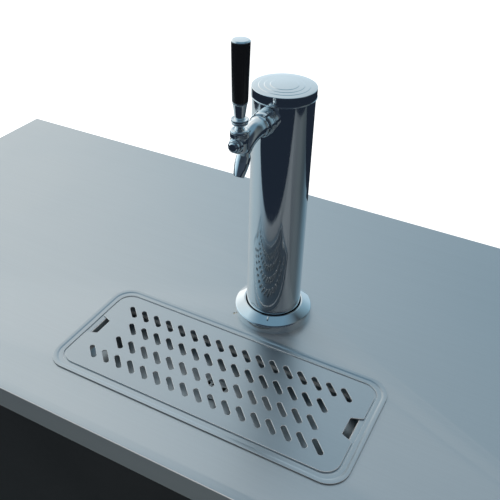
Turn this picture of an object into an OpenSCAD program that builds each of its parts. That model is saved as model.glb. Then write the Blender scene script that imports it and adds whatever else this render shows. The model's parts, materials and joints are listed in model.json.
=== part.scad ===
// Draft beer cooler: a two-door insulated cabinet with a stainless worktop,
// a flush drip tray and a single tap on a chrome column.
// Millimetres. The origin is on the floor under the middle of the worktop,
// +Z is up and the doors face -Y.

/* [Cabinet] */
// Width of the worktop
top_w = 1486; // [1400:1:1560]
// Depth of the worktop, front to back
top_d = 632; // [622:1:700]
// Height of the worktop's turned-down edge
top_edge_h = 38; // [34:1:50]
// Height of the worktop above the floor
counter_h = 940; // [900:1:1000]
// Thickness of the worktop and case sheets
sheet_t = 1.2; // [0.8:0.1:2]
// How far the worktop stands out past each side
side_overhang = 5; // [2:1:10]
// How far the worktop stands out past the doors
front_overhang = 12; // [8:1:20]
// How far the worktop stands out past the back
back_overhang = 6; // [3:1:15]
// Height of the levelling feet
foot_h = 32; // [24:1:60]
// Width of the machine compartment at the left end
machine_w = 330; // [320:1:380]
// Thickness of the foam walls
wall_t = 45; // [36:1:50]
// Thickness of the inner liner
liner_t = 1; // [0.8:0.1:2]

/* [Doors] */
// Thickness of each door
door_t = 50; // [45:1:60]
// Space between a closed door and the front frame
gasket_t = 12; // [10:0.5:14]
// Gap between the two doors
door_gap = 6; // [5:1:10]
// Gap between a door and the end of the cold box
door_edge_gap = 4; // [3:0.5:6]
// Diameter of the hinge pins
hinge_pin_d = 8; // [6:0.5:9]
// Height of the finger pocket in each door
pocket_h = 110; // [90:1:140]
// Width of the finger pocket in each door
pocket_w = 44; // [36:1:60]
// Depth of the finger pocket in each door
pocket_deep = 22; // [16:1:28]

/* [Tower] */
// Distance from the middle of the worktop back to the tower's axis, negative towards the doors
tower_y = -9; // [-14:1:20]
// Outside diameter of the column
column_d = 76.2; // [70:0.1:82]
// Wall of the column
column_wall = 1.5; // [1:0.1:2.5]
// Height of the column's top edge above the worktop
column_h = 339; // [334:1:370]
// Height of the cap from the foot of its skirt to its edge
cap_h = 12.5; // [6:0.5:14]
// Diameter of the trim ring round the column's foot
ring_d = 110; // [108:0.5:116]
// Height of the trim ring
ring_h = 20.5; // [18:0.5:26]
// Height of the tap's axis above the worktop
tap_z = 314; // [296:1:316]

/* [Drip tray] */
// Distance from the tower's axis to the middle of the tray
tray_reach = 152.7; // [150:0.1:153]
// Sideways shift of the tray from the tower's axis
tray_shift = -6.8; // [-20:0.1:20]
// Width of the tray's rim
tray_w = 420.6; // [416:0.1:440]
// Depth of the tray's rim, front to back
tray_d = 179.3; // [176:0.1:184]
// Width of the grille
grille_w = 393.2; // [388:0.1:398]
// Depth of the grille, front to back
grille_d = 150.5; // [146:0.1:154]
// Thickness of the grille
grille_t = 2; // [1.5:0.1:3]
// Depth of the tray's well below the worktop
well_deep = 26; // [20:0.5:30]
// Length of a grille slot
slot_l = 24.5; // [20:0.5:26]
// Width of a grille slot
slot_w = 7; // [5:0.5:8]
// Spacing of the slots along a row
slot_pitch = 20.45; // [19:0.05:21]
// Spacing of the four rows of slots
row_pitch = 30.5; // [28:0.1:32]

/* [Tap] */
// Distance from the column's axis forward to the lever's axis
lever_reach = 109.5; // [106:0.5:120]
// Height of the bonnet's top above the tap's axis
bonnet_rise = 16; // [15:0.5:20]
// Diameter of the bonnet
bonnet_d = 21.3; // [20.5:0.1:23]
// Height of the grip
grip_h = 67; // [55:1:90]
// Diameter of the grip at its top
grip_top_d = 19.6; // [18:0.1:24]
// Diameter of the grip at its foot
grip_foot_d = 16.4; // [15:0.1:20]
// Diameter of the coupling nut
coupling_d = 30; // [28:0.5:34]
// Radius of the bend from the body into the spout
spout_bend_r = 26; // [24:0.5:30]
// Length of the straight spout
spout_l = 33; // [26:0.5:40]
// Outside diameter of the spout at its tip
spout_tip_d = 12.4; // [11:0.1:14]

/* [Cooling unit] */
// Diameter of the compressor
compressor_d = 150; // [130:1:170]
// Height of the compressor
compressor_h = 172; // [150:1:200]
// Diameter of the condenser fan
condenser_fan_d = 200; // [180:1:220]
// Diameter of the evaporator fan
evaporator_fan_d = 150; // [130:1:180]
// Fins on the condenser coil
condenser_fins = 28; // [16:1:40]
// Fins on the evaporator coil
evaporator_fins = 30; // [16:1:40]

/* [Hidden] */
$fn = 48;

// One overrun serves every cut
cut = 1;
// Air between faces of pieces that move past each other
air_gap = 0.3;
// Radial play of a shaft in its bearing
run_play = 0.05;
// Play round a piece that drops into a cut-out
drop_play = 0.6;
// Joint between sheets and slabs that meet at a corner
seam = 0.1;

// Case and cold box
half_w = top_w / 2;
half_d = top_d / 2;
frame_t = 3;
case_x0 = -half_w + side_overhang;
case_x1 = half_w - side_overhang;
door_y0 = -half_d + front_overhang;
case_y0 = door_y0 + door_t + gasket_t;
case_y1 = half_d - back_overhang;
case_z0 = foot_h;
case_z1 = counter_h - top_edge_h;
part_x = case_x0 + machine_w;
cold_x0 = part_x + sheet_t;
cold_x1 = case_x1 - sheet_t;
cold_y0 = case_y0 + frame_t;
cold_y1 = case_y1 - sheet_t;
cold_z0 = case_z0 + sheet_t;
cavity_x0 = cold_x0 + wall_t;
cavity_x1 = cold_x1 - wall_t;
cavity_y1 = cold_y1 - wall_t;
cavity_z0 = cold_z0 + wall_t;
inside_x0 = cavity_x0 + liner_t;
inside_x1 = cavity_x1 - liner_t;
inside_y1 = cavity_y1 - liner_t;
inside_z0 = cavity_z0 + liner_t;
inside_z1 = case_z1 - liner_t;
mid_x = (part_x + case_x1) / 2;
mullion_w = 80;
rail_h = 40;
rail_deep = 40;
rail_wall = 2;

// Worktop
return_w = 12;
line_hole_r = 27;
spare_hole_r = 1.6;
spare_hole_x = -44;
spare_hole_y = -36.5;

// Doors
door_foot_gap = 14;
door_head_gap = 8;
door_z0 = case_z0 + door_foot_gap;
door_z1 = case_z1 - door_head_gap;
door_w = (case_x1 - part_x - 2 * door_edge_gap - door_gap) / 2;
door_corner_r = 3;
door_skin_t = 1.2;
pin_block = 24;
door_liner_t = 2;
gasket_inset = 16;
gasket_w = 14;
dyke_inset = 40;
dyke_w = 14;
dyke_h = 8;
pin_inset = 12;
pin_deep = 20;
bracket_t = 4;
bracket_gap = 2;
bracket_leaf_t = 3;
bracket_leaf_h = 26;
bracket_w = 15;
bracket_nose = 8;
pocket_edge = 36;
pocket_drop = 130;
pocket_wall = 2;
pocket_lip = 5;
pocket_r = 6;

// Machine compartment front
grille_sheet_t = 1.5;
grille_return_w = 14;
louvre_w = 118;
louvre_slot_h = 8;
louvre_pitch = 20;
louvre_deep = 7;
louvre_rows = 16;
louvre_gap = 26;
louvre_foot = 60;
vent_slot_w = 110;
vent_slot_h = 6;
vent_pitch = 18;
vent_rows = 14;
vent_foot = 60;

// Compressor
machine_mid_x = (case_x0 + part_x) / 2;
compressor_back = 158;
compressor_y = cold_y1 - compressor_back;
compressor_base = 14;
compressor_plate = [220, 170];
compressor_plate_t = 3;
mount_r = 13;
mount_inset = 18;
mount_bolt_r = 4;
seam_h = 7;
seam_out = 3;
port_r = 6;
port_l = 40;
dome_share = 0.32;
port_share = 0.3;
port_x = compressor_d / 2 * port_share;
port_z = cold_z0 + compressor_base + compressor_plate_t + compressor_h + port_l / 4;

// Condenser and its fan
condenser_w = 250;
condenser_h = 260;
condenser_deep = 44;
condenser_foot = 26;
condenser_front = 24;
condenser_z0 = case_z0 + condenser_foot;
condenser_y0 = cold_y0 + condenser_front;
end_plate_t = 2;
core_share = 0.4;
fin_t = 1.2;
bend_r = 11;
coil_tube_r = 4.5;
coil_rows = 5;
bend_band_share = 0.3;
shroud_t = 2;
duct_h = 32;
duct_wall = 2;
blade_gap = 5;
blade_t = 2;
blade_deep = 24;
blade_pitch = 32;
hub_share = 0.16;
motor_share = 0.34;
motor_l = 50;
motor_arm_w = 12;
motor_arm_t = 3;
motor_arm_turn = 80;
motor_nose = 2;
motor_shaft_r = 3;
fan_y0 = condenser_y0 + condenser_deep + shroud_t + blade_gap;
fan_z = condenser_z0 + condenser_h / 2;

// Evaporator
evaporator_deep = 130;
evaporator_w = 330;
evaporator_h = 290;
evaporator_back = 362;
evaporator_drop = 21;
evaporator_y0 = inside_y1 - evaporator_back;
evaporator_z1 = inside_z1 - evaporator_drop;
housing_t = 1.5;
evaporator_coil_deep = 44;
evaporator_inset = 20;
evaporator_coil_end = 64;

// Thermostat
thermostat_w = 50;
thermostat_h = 70;
thermostat_deep = 20;
thermostat_inset = 35;
knob_r = 16;
knob_h = 14;
knob_grip_w = 6;
spindle_r = 3;
spindle_l = 10;

// Refrigerant lines
suction_r = 5;
liquid_r = 3;
line_pass_r = 9;
line_pass_drop = 70;
line_pass_inset = 28;
line_pass_z = evaporator_z1 - evaporator_h + line_pass_drop;
line_pass_y = evaporator_y0 + evaporator_w - line_pass_inset;
line_pass_gap = 24;
line_over = 26;

// Condensate tray
condensate_tray_w = 240;
condensate_clear = 22;
condensate_tray_h = 34;
condensate_tray_t = 2;
condensate_gap = 28;

// Gas line hole through the back wall
gas_hole_r = 16;
gas_hole_drop = 200;
gas_hole_inset = 120;

// Drip tray
tray_x = tray_shift;
tray_y = tower_y - tray_reach;
tray_r = 28;
grille_r = 20;
rim_t = 1.2;
tray_wall = 1.2;
rebate_gap = 0.6;
tray_play = 2 * (rebate_gap + tray_wall + drop_play);
ledge_w = 6.5;
well_r = 5;
notch_deep = 15;
notch_w = 28;
notch_mouth_w = 40;
slot_angle = -45;
slot_row_counts = [17, 15, 15, 17];
drain_r = 23;
drain_flange_t = 1.5;
strainer_bar_w = 2.6;
strainer_t = 1.6;
strainer_ring_share = 0.55;
strainer_turn = 20;
tail_r = 16;
tail_wall = 2;
tail_l = 12;
outlet_r = 12.7;
outlet_l = 72;
drain_nut_r = 24;
drain_nut_h = 7;

// Tower
gasket_plate_t = 1.5;
flange_r = 50.8;
flange_t = 3;
flange_screw_r = 45;
screw_hole_r = 2.2;
screw_head_r = 4;
screw_head_h = 2.4;
screw_l = 26;
ring_wall = 2;
ring_side_share = 0.44;
ring_edge_r = 4;
ring_throat_gap = 1.2;
cap_t = 2;
cap_wall = 0.9;
cap_step_h = 0.7;
cap_step_shares = [0.82, 0.62, 0.42];
sleeve_gap = 0.6;
sleeve_top_drop = 60;
line_r = 5.6;
line_bore_r = 2.4;
line_tail = 70;

// Shank
shank_r = 11.1;
shank_bore_r = 4;
shank_back = 22;
coupling_back = 45;
coupling_l = 16;
shank_nut_r = 17;
shank_washer_t = 4;
elbow_r = 7;
elbow_bend_r = 12;
elbow_bore_r = 1.4;
barb_l = 20;
barb_r = 2.3;

// Faucet, measured from the tap's own axis
body_back_r = 12.6;
body_lip_t = 4;
body_y1 = -(coupling_back + coupling_l);
body_bend_start = 72;
body_turn = 61;
horn_steps = 5;
horn_start_r = 11.6;
horn_end_r = 7.6;
barrel_r = 9.8;
barrel_drop = 10;
seat_r = 3.6;
seat_back = 10;
seat_y = body_y1 - seat_back;
seat_t = 3;
chamber_r = 5.6;
spout_bore_r = 4.4;
plug_r = 6.6;
plug_face_t = 4;
plug_nose = 16;
pivot_drop = 3;
ball_r = 6.5;
lever_neck_r = 3.2;
lever_throat_r = 5.6;
lever_tip_r = 2.4;
lever_tip_over = 3;
bonnet_h = 9;
bonnet_edge = 1.2;
collar_r = 9.7;
collar_rise = 12;
collar_groove_r = 7.6;
collar_groove_h = 2;
collar_top_h = 3;
collar_ball_r = 11.5;
ferrule_h = 15;
ferrule_foot_r = 5.4;
ferrule_top_r = 7.9;
stud_over = 24;
cap_disc_t = 2.2;
cap_disc_inset = 0.5;
flute_count = 12;
flute_r = 1.1;
flute_out_share = 0.6;
shaft_r = 2.3;
shaft_eye_r = chamber_r - run_play;
shaft_eye_l = 15;
shaft_eye_shift = 1;
shaft_nose = 11.5;
eye_slot_l = 8.8;
eye_slack = 0.2;
lever_slot_r = 7.4;
seal_r = 5;
seal_t = 3;
bonnet_z = tap_z + bonnet_rise;
pivot_z = bonnet_z - pivot_drop;
collar_z1 = bonnet_z + collar_rise;
grip_z0 = collar_z1 + ferrule_h;
grip_z1 = grip_z0 + grip_h;

// Boxes and bars between two limits
module block(x0, x1, y0, y1, z0, z1) {
    translate([x0, y0, z0]) cube([x1 - x0, y1 - y0, z1 - z0]);
}

module bar_x(r, x0, x1) {
    translate([x0, 0, 0]) rotate([0, 90, 0]) cylinder(h = x1 - x0, r = r);
}

module bar_y(r, y0, y1) {
    translate([0, y1, 0]) rotate([90, 0, 0]) cylinder(h = y1 - y0, r = r);
}

module taper_y(r_front, r_back, y0, y1) {
    translate([0, y1, 0]) rotate([90, 0, 0]) cylinder(h = y1 - y0, r1 = r_back, r2 = r_front);
}

module tube(r, wall, h) {
    difference() {
        cylinder(h = h, r = r);
        translate([0, 0, -cut]) cylinder(h = h + 2 * cut, r = r - wall);
    }
}

module round_rect(w, d, r) {
    square([w - 2 * r, d], center = true);
    square([w, d - 2 * r], center = true);
    for (sx = [-1, 1], sy = [-1, 1]) translate([sx * (w / 2 - r), sy * (d / 2 - r)]) circle(r = r);
}

module slot_2d(l, w) {
    square([l - w, w], center = true);
    for (sx = [-1, 1]) translate([sx * (l - w) / 2, 0]) circle(r = w / 2);
}

module hex_prism(r, h) {
    cylinder(h = h, r = r, $fn = 6);
}

// A bent pipe: straight runs with a ball at each corner
module pipe(points, r) {
    for (i = [0 : len(points) - 2]) {
        run = points[i + 1] - points[i];
        l = norm(run);
        translate(points[i]) rotate([0, acos(run[2] / l), atan2(run[1], run[0])]) cylinder(h = l, r = r);
    }
    for (i = [1 : len(points) - 2]) translate(points[i]) sphere(r = r);
}

module at_tower() {
    translate([0, tower_y, counter_h]) children();
}

module at_tray() {
    translate([tray_x, tray_y, counter_h]) children();
}

module at_tap() {
    translate([0, tower_y, counter_h + tap_z]) children();
}

module at_lever() {
    translate([0, tower_y - lever_reach, counter_h]) children();
}

// Cabinet

module gas_hole_cut() {
    translate([inside_x1 - gas_hole_inset, 0, case_z1 - gas_hole_drop])
        bar_y(gas_hole_r, inside_y1 - cut, case_y1 + cut);
}

module line_pass_cut(x0, x1) {
    for (i = [0, 1]) translate([0, line_pass_y, line_pass_z - i * line_pass_gap])
        bar_x(line_pass_r, x0 - cut, x1 + cut);
}

module vent_slots() {
    for (side = [-1, 1], i = [0 : vent_rows - 1])
        translate([machine_mid_x + side * (vent_slot_w + louvre_gap) / 2,
                   case_y1 + cut, case_z0 + vent_foot + i * vent_pitch])
            rotate([90, 0, 0]) linear_extrude(sheet_t + 2 * cut) slot_2d(vent_slot_w, vent_slot_h);
}

module outer_case() {
    color([0.12, 0.12, 0.13]) difference() {
        union() {
            block(case_x0, case_x1, cold_y0, case_y1, case_z0, cold_z0);
            block(case_x0, case_x1, cold_y1, case_y1, cold_z0 + seam, case_z1);
            for (x = [case_x0, part_x, cold_x1])
                block(x, x + sheet_t, cold_y0, cold_y1 - seam, cold_z0 + seam, case_z1);
        }
        vent_slots();
        gas_hole_cut();
        line_pass_cut(part_x, cold_x0);
    }
}

module case_insulation() {
    color([0.93, 0.88, 0.68]) difference() {
        union() {
            block(cold_x0, cold_x1, cold_y0, cold_y1, cold_z0, cavity_z0);
            block(cold_x0, cold_x1, cavity_y1, cold_y1, cavity_z0 + seam, case_z1);
            for (x = [cold_x0, cavity_x1])
                block(x, x + wall_t, cold_y0, cavity_y1 - seam, cavity_z0 + seam, case_z1);
        }
        gas_hole_cut();
        line_pass_cut(cold_x0, cavity_x0);
    }
}

module inner_liner() {
    color([0.78, 0.8, 0.82]) difference() {
        block(cavity_x0, cavity_x1, cold_y0, cavity_y1, cavity_z0, case_z1);
        block(inside_x0, inside_x1, cold_y0 - cut, inside_y1, inside_z0, inside_z1);
        translate([tray_x, tray_y, inside_z1 - cut])
            cylinder(h = liner_t + 2 * cut, r = drain_nut_r + drop_play);
        translate([0, tower_y, inside_z1 - cut]) cylinder(h = liner_t + 2 * cut, r = line_hole_r);
        gas_hole_cut();
        line_pass_cut(cavity_x0, inside_x0);
    }
}

module front_frame() {
    strips = [[part_x, inside_x0], [mid_x - mullion_w / 2, mid_x + mullion_w / 2],
              [inside_x1, case_x1]];
    color([0.1, 0.1, 0.11]) {
        block(part_x, case_x1, case_y0, cold_y0, case_z0, inside_z0);
        block(part_x, case_x1, case_y0, cold_y0, inside_z1 - rail_h, case_z1);
        for (strip = strips)
            block(strip[0], strip[1], case_y0, cold_y0, inside_z0 + seam, inside_z1 - rail_h - seam);
    }
}

module box_rail(x0, x1, z0, z1) {
    difference() {
        block(x0, x1, cold_y0, cold_y0 + rail_deep, z0, z1);
        block(x0 + rail_wall, x1 - rail_wall, cold_y0 + rail_wall, cold_y0 + rail_deep - rail_wall,
              z0 + rail_wall, z1 - rail_wall);
    }
}

module door_rails() {
    color([0.72, 0.74, 0.76]) {
        box_rail(inside_x0, inside_x1, inside_z1 - rail_h, inside_z1);
        box_rail(mid_x - mullion_w / 2, mid_x + mullion_w / 2, inside_z0, inside_z1 - rail_h - seam);
    }
}

module levelling_feet() {
    pad_r = 19;
    pad_h = 10;
    stem_r = 6;
    nut_r = 10;
    nut_h = 7;
    foot_inset = 60;
    color([0.16, 0.16, 0.17])
        for (x = [case_x0 + foot_inset, mid_x, case_x1 - foot_inset],
             y = [cold_y0 + foot_inset, case_y1 - foot_inset])
            translate([x, y, 0]) {
                cylinder(h = pad_h, r = pad_r);
                cylinder(h = foot_h, r = stem_r);
                translate([0, 0, foot_h - nut_h]) hex_prism(nut_r, nut_h);
            }
}

// Worktop

module tray_cut_out(z0, z1) {
    translate([tray_x, tray_y, z0]) linear_extrude(z1 - z0)
        round_rect(grille_w + tray_play, grille_d + tray_play, grille_r + tray_wall + drop_play);
}

module tower_holes(z0, z1) {
    translate([0, tower_y, z0]) cylinder(h = z1 - z0, r = line_hole_r);
    for (i = [0 : 3]) translate([0, tower_y, z0]) rotate([0, 0, i * 90 + 45])
        translate([flange_screw_r, 0, 0]) cylinder(h = z1 - z0, r = screw_hole_r);
}

module worktop() {
    plate_z0 = counter_h - sheet_t;
    color([0.66, 0.71, 0.75]) difference() {
        block(-half_w, half_w, -half_d, half_d, case_z1, counter_h);
        block(-half_w + sheet_t, half_w - sheet_t, -half_d + sheet_t, half_d - sheet_t,
              case_z1 + sheet_t, plate_z0);
        block(-half_w + return_w, half_w - return_w, -half_d + return_w, half_d - return_w,
              case_z1 - cut, plate_z0);
        tray_cut_out(plate_z0 - cut, counter_h + cut);
        tower_holes(plate_z0 - cut, counter_h + cut);
        translate([spare_hole_x, tower_y + spare_hole_y, plate_z0 - cut])
            cylinder(h = sheet_t + 2 * cut, r = spare_hole_r);
    }
}

module top_slab(x0, x1, y0, y1) {
    intersection() {
        union() {
            block(-half_w + sheet_t, half_w - sheet_t, -half_d + sheet_t, half_d - sheet_t,
                  case_z1 + sheet_t, counter_h - sheet_t);
            block(-half_w + return_w, half_w - return_w, -half_d + return_w, half_d - return_w,
                  case_z1, counter_h - sheet_t);
        }
        block(x0, x1, y0, y1, case_z1, counter_h);
    }
}

module worktop_insulation() {
    hole_w = (grille_w + tray_play) / 2;
    hole_d = (grille_d + tray_play) / 2;
    color([0.93, 0.88, 0.68]) difference() {
        union() {
            top_slab(-half_w, half_w, -half_d, tray_y - hole_d);
            top_slab(-half_w, half_w, tray_y + hole_d, half_d);
            top_slab(-half_w, tray_x - hole_w, tray_y - hole_d + seam, tray_y + hole_d - seam);
            top_slab(tray_x + hole_w, half_w, tray_y - hole_d + seam, tray_y + hole_d - seam);
            block(tray_x - hole_w + seam, tray_x + hole_w - seam, tray_y - hole_d + seam,
                  tray_y + hole_d - seam, case_z1, counter_h - well_deep - tray_wall);
        }
        translate([tray_x, tray_y, case_z1 - cut])
            cylinder(h = top_edge_h, r = drain_nut_r + drop_play);
        tower_holes(case_z1 - cut, counter_h);
    }
}
// Machine compartment front

module louvre_hood() {
    rotate([90, 0, 90]) linear_extrude(louvre_w, center = true)
        polygon([[0, louvre_slot_h / 2], [0, louvre_slot_h / 2 + grille_sheet_t],
                 [-louvre_deep, -louvre_slot_h / 2], [-louvre_deep + grille_sheet_t, -louvre_slot_h / 2]]);
}

module each_louvre() {
    for (side = [-1, 1], i = [0 : louvre_rows - 1])
        translate([machine_mid_x + side * (louvre_w + louvre_gap) / 2, door_y0,
                   door_z0 + louvre_foot + i * louvre_pitch]) children();
}

module grille_side(x0, x1, z0, z1, lip_x0, lip_x1, lip_z0, lip_z1) {
    block(x0, x1, door_y0 + grille_sheet_t + seam, cold_y0, z0, z1);
    block(lip_x0, lip_x1, cold_y0 - grille_sheet_t, cold_y0, lip_z0, lip_z1);
}

module machine_grille() {
    x0 = case_x0;
    x1 = part_x - door_edge_gap;
    inner_x0 = x0 + grille_sheet_t;
    inner_x1 = x1 - grille_sheet_t;
    inner_z0 = door_z0 + grille_sheet_t;
    inner_z1 = door_z1 - grille_sheet_t;
    color([0.1, 0.1, 0.11]) {
        difference() {
            block(x0, x1, door_y0, door_y0 + grille_sheet_t, door_z0, door_z1);
            each_louvre() block(-louvre_w / 2, louvre_w / 2, -cut, grille_sheet_t + cut,
                                -louvre_slot_h / 2, louvre_slot_h / 2);
        }
        each_louvre() translate([0, grille_sheet_t, 0]) louvre_hood();
        grille_side(x0, x1, door_z0, inner_z0, inner_x0 + seam, inner_x1 - seam,
                    door_z0, door_z0 + grille_return_w);
        grille_side(x0, x1, inner_z1, door_z1, inner_x0 + seam, inner_x1 - seam,
                    door_z1 - grille_return_w, door_z1);
        grille_side(x0, inner_x0, inner_z0 + seam, inner_z1 - seam, x0, x0 + grille_return_w,
                    door_z0 + grille_return_w + seam, door_z1 - grille_return_w - seam);
        grille_side(inner_x1, x1, inner_z0 + seam, inner_z1 - seam, x1 - grille_return_w, x1,
                    door_z0 + grille_return_w + seam, door_z1 - grille_return_w - seam);
    }
}

// Doors: side is -1 for the left door and 1 for the right one.
// Each is drawn with its hinged edge at x = 0 and its free edge at x = door_w.

module place_door(side) {
    if (side < 0) translate([part_x + door_edge_gap, 0, 0]) children();
    else translate([case_x1 - door_edge_gap, 0, 0]) mirror([1, 0, 0]) children();
}

module pocket_shape(grow, over) {
    translate([door_w - pocket_edge - pocket_w / 2, door_y0 - over,
               door_z1 - pocket_drop - pocket_h / 2])
        rotate([-90, 0, 0]) linear_extrude(pocket_deep + grow + over)
            round_rect(pocket_w + 2 * grow, pocket_h + 2 * grow, pocket_r + grow);
}

module pin_blocks() {
    for (z = [door_z0, door_z1 - pin_block])
        block(door_skin_t, pin_block, door_y0 + door_skin_t, door_y0 + pin_block, z, z + pin_block);
}

module door_hollow(over) {
    back = door_y0 + door_t - door_liner_t;
    block(door_skin_t, door_w - door_skin_t, door_y0 + door_skin_t, back + over,
          door_z0 + door_skin_t, door_z1 - door_skin_t);
}

module door_panel() {
    back = door_y0 + door_t - door_liner_t;
    difference() {
        union() {
            difference() {
                translate([door_w / 2, (door_y0 + back) / 2, door_z0])
                    linear_extrude(door_z1 - door_z0)
                        round_rect(door_w, back - door_y0, door_corner_r);
                door_hollow(cut);
            }
            pin_blocks();
        }
        pocket_shape(pocket_wall + drop_play, cut);
        for (z = [door_z0 - cut, door_z1 - pin_deep - cut])
            translate([pin_inset, door_y0 + pin_inset, z])
                cylinder(h = pin_deep + 2 * cut, r = hinge_pin_d / 2 + run_play);
    }
}

module door_core() {
    difference() {
        door_hollow(0);
        pin_blocks();
        pocket_shape(pocket_wall + drop_play, cut);
    }
}

module door_frame_ring(inset, w, y0, y1) {
    difference() {
        block(inset, door_w - inset, y0, y1, door_z0 + inset, door_z1 - inset);
        block(inset + w, door_w - inset - w, y0 - cut, y1 + cut,
              door_z0 + inset + w, door_z1 - inset - w);
    }
}

module door_liner() {
    back = door_y0 + door_t;
    block(door_corner_r, door_w - door_corner_r, back - door_liner_t, back,
          door_z0 + door_corner_r, door_z1 - door_corner_r);
    door_frame_ring(dyke_inset, dyke_w, back - door_liner_t, back + dyke_h);
}

module door_gasket() {
    back = door_y0 + door_t;
    magnet_share = 0.45;
    door_frame_ring(gasket_inset, gasket_w, back, back + gasket_t * magnet_share);
    door_frame_ring(gasket_inset + gasket_w / 4, gasket_w / 2, back + gasket_t * magnet_share,
                    back + gasket_t - air_gap);
}

module door_handle() {
    difference() {
        union() {
            pocket_shape(pocket_wall, 0);
            translate([door_w - pocket_edge - pocket_w / 2, door_y0 - pocket_wall,
                       door_z1 - pocket_drop - pocket_h / 2])
                rotate([-90, 0, 0]) linear_extrude(pocket_wall)
                    round_rect(pocket_w + 2 * pocket_lip, pocket_h + 2 * pocket_lip,
                               pocket_r + pocket_lip);
        }
        pocket_shape(0, pocket_wall + cut);
    }
}

module door_left_panel() { color([0.11, 0.11, 0.12]) place_door(-1) door_panel(); }
module door_left_core() { color([0.93, 0.88, 0.68]) place_door(-1) door_core(); }
module door_left_liner() { color([0.85, 0.86, 0.87]) place_door(-1) door_liner(); }
module door_left_gasket() { color([0.2, 0.2, 0.21]) place_door(-1) door_gasket(); }
module door_left_handle() { color([0.06, 0.06, 0.07]) place_door(-1) door_handle(); }
module door_right_panel() { color([0.11, 0.11, 0.12]) place_door(1) door_panel(); }
module door_right_core() { color([0.93, 0.88, 0.68]) place_door(1) door_core(); }
module door_right_liner() { color([0.85, 0.86, 0.87]) place_door(1) door_liner(); }
module door_right_gasket() { color([0.2, 0.2, 0.21]) place_door(1) door_gasket(); }
module door_right_handle() { color([0.06, 0.06, 0.07]) place_door(1) door_handle(); }

module hinge_bracket(z0, leaf_z0, pin_z0) {
    block(pin_inset - bracket_w, pin_inset, case_y0 - bracket_leaf_t, case_y0,
          leaf_z0, leaf_z0 + bracket_leaf_h);
    block(pin_inset - bracket_w, pin_inset + bracket_nose, door_y0 + pin_inset, case_y0,
          z0, z0 + bracket_t);
    translate([pin_inset, door_y0 + pin_inset, z0]) cylinder(h = bracket_t, r = bracket_nose);
    translate([pin_inset, door_y0 + pin_inset, pin_z0]) cylinder(h = pin_deep, r = hinge_pin_d / 2);
}

module hinge_brackets() {
    color([0.7, 0.71, 0.73]) for (side = [-1, 1]) place_door(side) {
        hinge_bracket(door_z1 + bracket_gap, door_z1 + bracket_gap + bracket_t - bracket_leaf_h,
                      door_z1 + bracket_gap - pin_deep);
        hinge_bracket(door_z0 - bracket_gap - bracket_t, door_z0 - bracket_gap - bracket_t,
                      door_z0 - bracket_gap);
    }
}

// Cooling unit in the machine compartment

module compressor() {
    r = compressor_d / 2;
    dome_h = compressor_h * dome_share;
    wall_h = compressor_h - 2 * dome_h;
    ring_steps = 8;
    dome = [for (i = [0 : ring_steps])
        [r * cos(i * 90 / ring_steps), dome_h * sin(i * 90 / ring_steps)]];
    foot = [for (i = [0 : ring_steps])
        [r * sin(i * 90 / ring_steps), -dome_h * cos(i * 90 / ring_steps)]];
    color([0.08, 0.08, 0.09]) translate([machine_mid_x, compressor_y, cold_z0 + compressor_base]) {
        difference() {
            translate([-compressor_plate[0] / 2, -compressor_plate[1] / 2, 0])
                cube([compressor_plate[0], compressor_plate[1], compressor_plate_t]);
            for (sx = [-1, 1], sy = [-1, 1])
                translate([sx * (compressor_plate[0] / 2 - mount_inset),
                           sy * (compressor_plate[1] / 2 - mount_inset), -cut])
                    cylinder(h = compressor_plate_t + 2 * cut, r = mount_bolt_r);
        }
        translate([0, 0, compressor_plate_t]) cylinder(h = dome_h / 2, r = r * dome_share * 2);
        translate([0, 0, compressor_plate_t + dome_h]) rotate_extrude()
            polygon(concat(foot, [for (p = dome) [p[0], p[1] + wall_h]]));
        translate([0, 0, compressor_plate_t + dome_h + (wall_h - seam_h) / 2])
            cylinder(h = seam_h, r = r + seam_out);
        for (sx = [-1, 1]) translate([sx * port_x, 0, port_z - port_l - cold_z0 - compressor_base])
            cylinder(h = port_l, r = port_r);
    }
}

module compressor_mounts() {
    color([0.1, 0.1, 0.1]) for (sx = [-1, 1], sy = [-1, 1])
        translate([machine_mid_x + sx * (compressor_plate[0] / 2 - mount_inset),
                   compressor_y + sy * (compressor_plate[1] / 2 - mount_inset), cold_z0])
            difference() {
                cylinder(h = compressor_base, r = mount_r);
                translate([0, 0, -cut]) cylinder(h = compressor_base + 2 * cut, r = mount_bolt_r);
            }
}

// Fin comb: a core with plates across it, seen from above, and two end plates
module fin_block(w, deep, h, fins, core_w) {
    pitch = (w - 2 * end_plate_t) / (fins + 1);
    linear_extrude(h) {
        translate([-w / 2, -core_w / 2]) square([w, core_w]);
        for (i = [1 : fins]) translate([-w / 2 + end_plate_t + i * pitch - fin_t / 2, -deep / 2])
            square([fin_t, deep]);
        for (sx = [-1, 1]) translate([sx * (w - end_plate_t) / 2, 0])
            square([end_plate_t, deep], center = true);
    }
}

// Return bends on an end plate, with the half ring turned outward
module return_bends(h, rows) {
    step = h / rows;
    for (i = [0 : rows - 1]) translate([0, 0, (i + 0.5) * step])
        rotate([90, 0, 0]) rotate([0, 0, -90]) rotate_extrude(angle = 180)
            translate([bend_r, 0]) circle(r = coil_tube_r);
}

module condenser_coil() {
    color([0.62, 0.64, 0.66])
        translate([machine_mid_x, condenser_y0 + condenser_deep / 2, condenser_z0]) {
            fin_block(condenser_w, condenser_deep, condenser_h, condenser_fins,
                      condenser_deep * core_share);
            translate([condenser_w / 2, 0, 0]) return_bends(condenser_h, coil_rows);
        }
}

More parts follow.
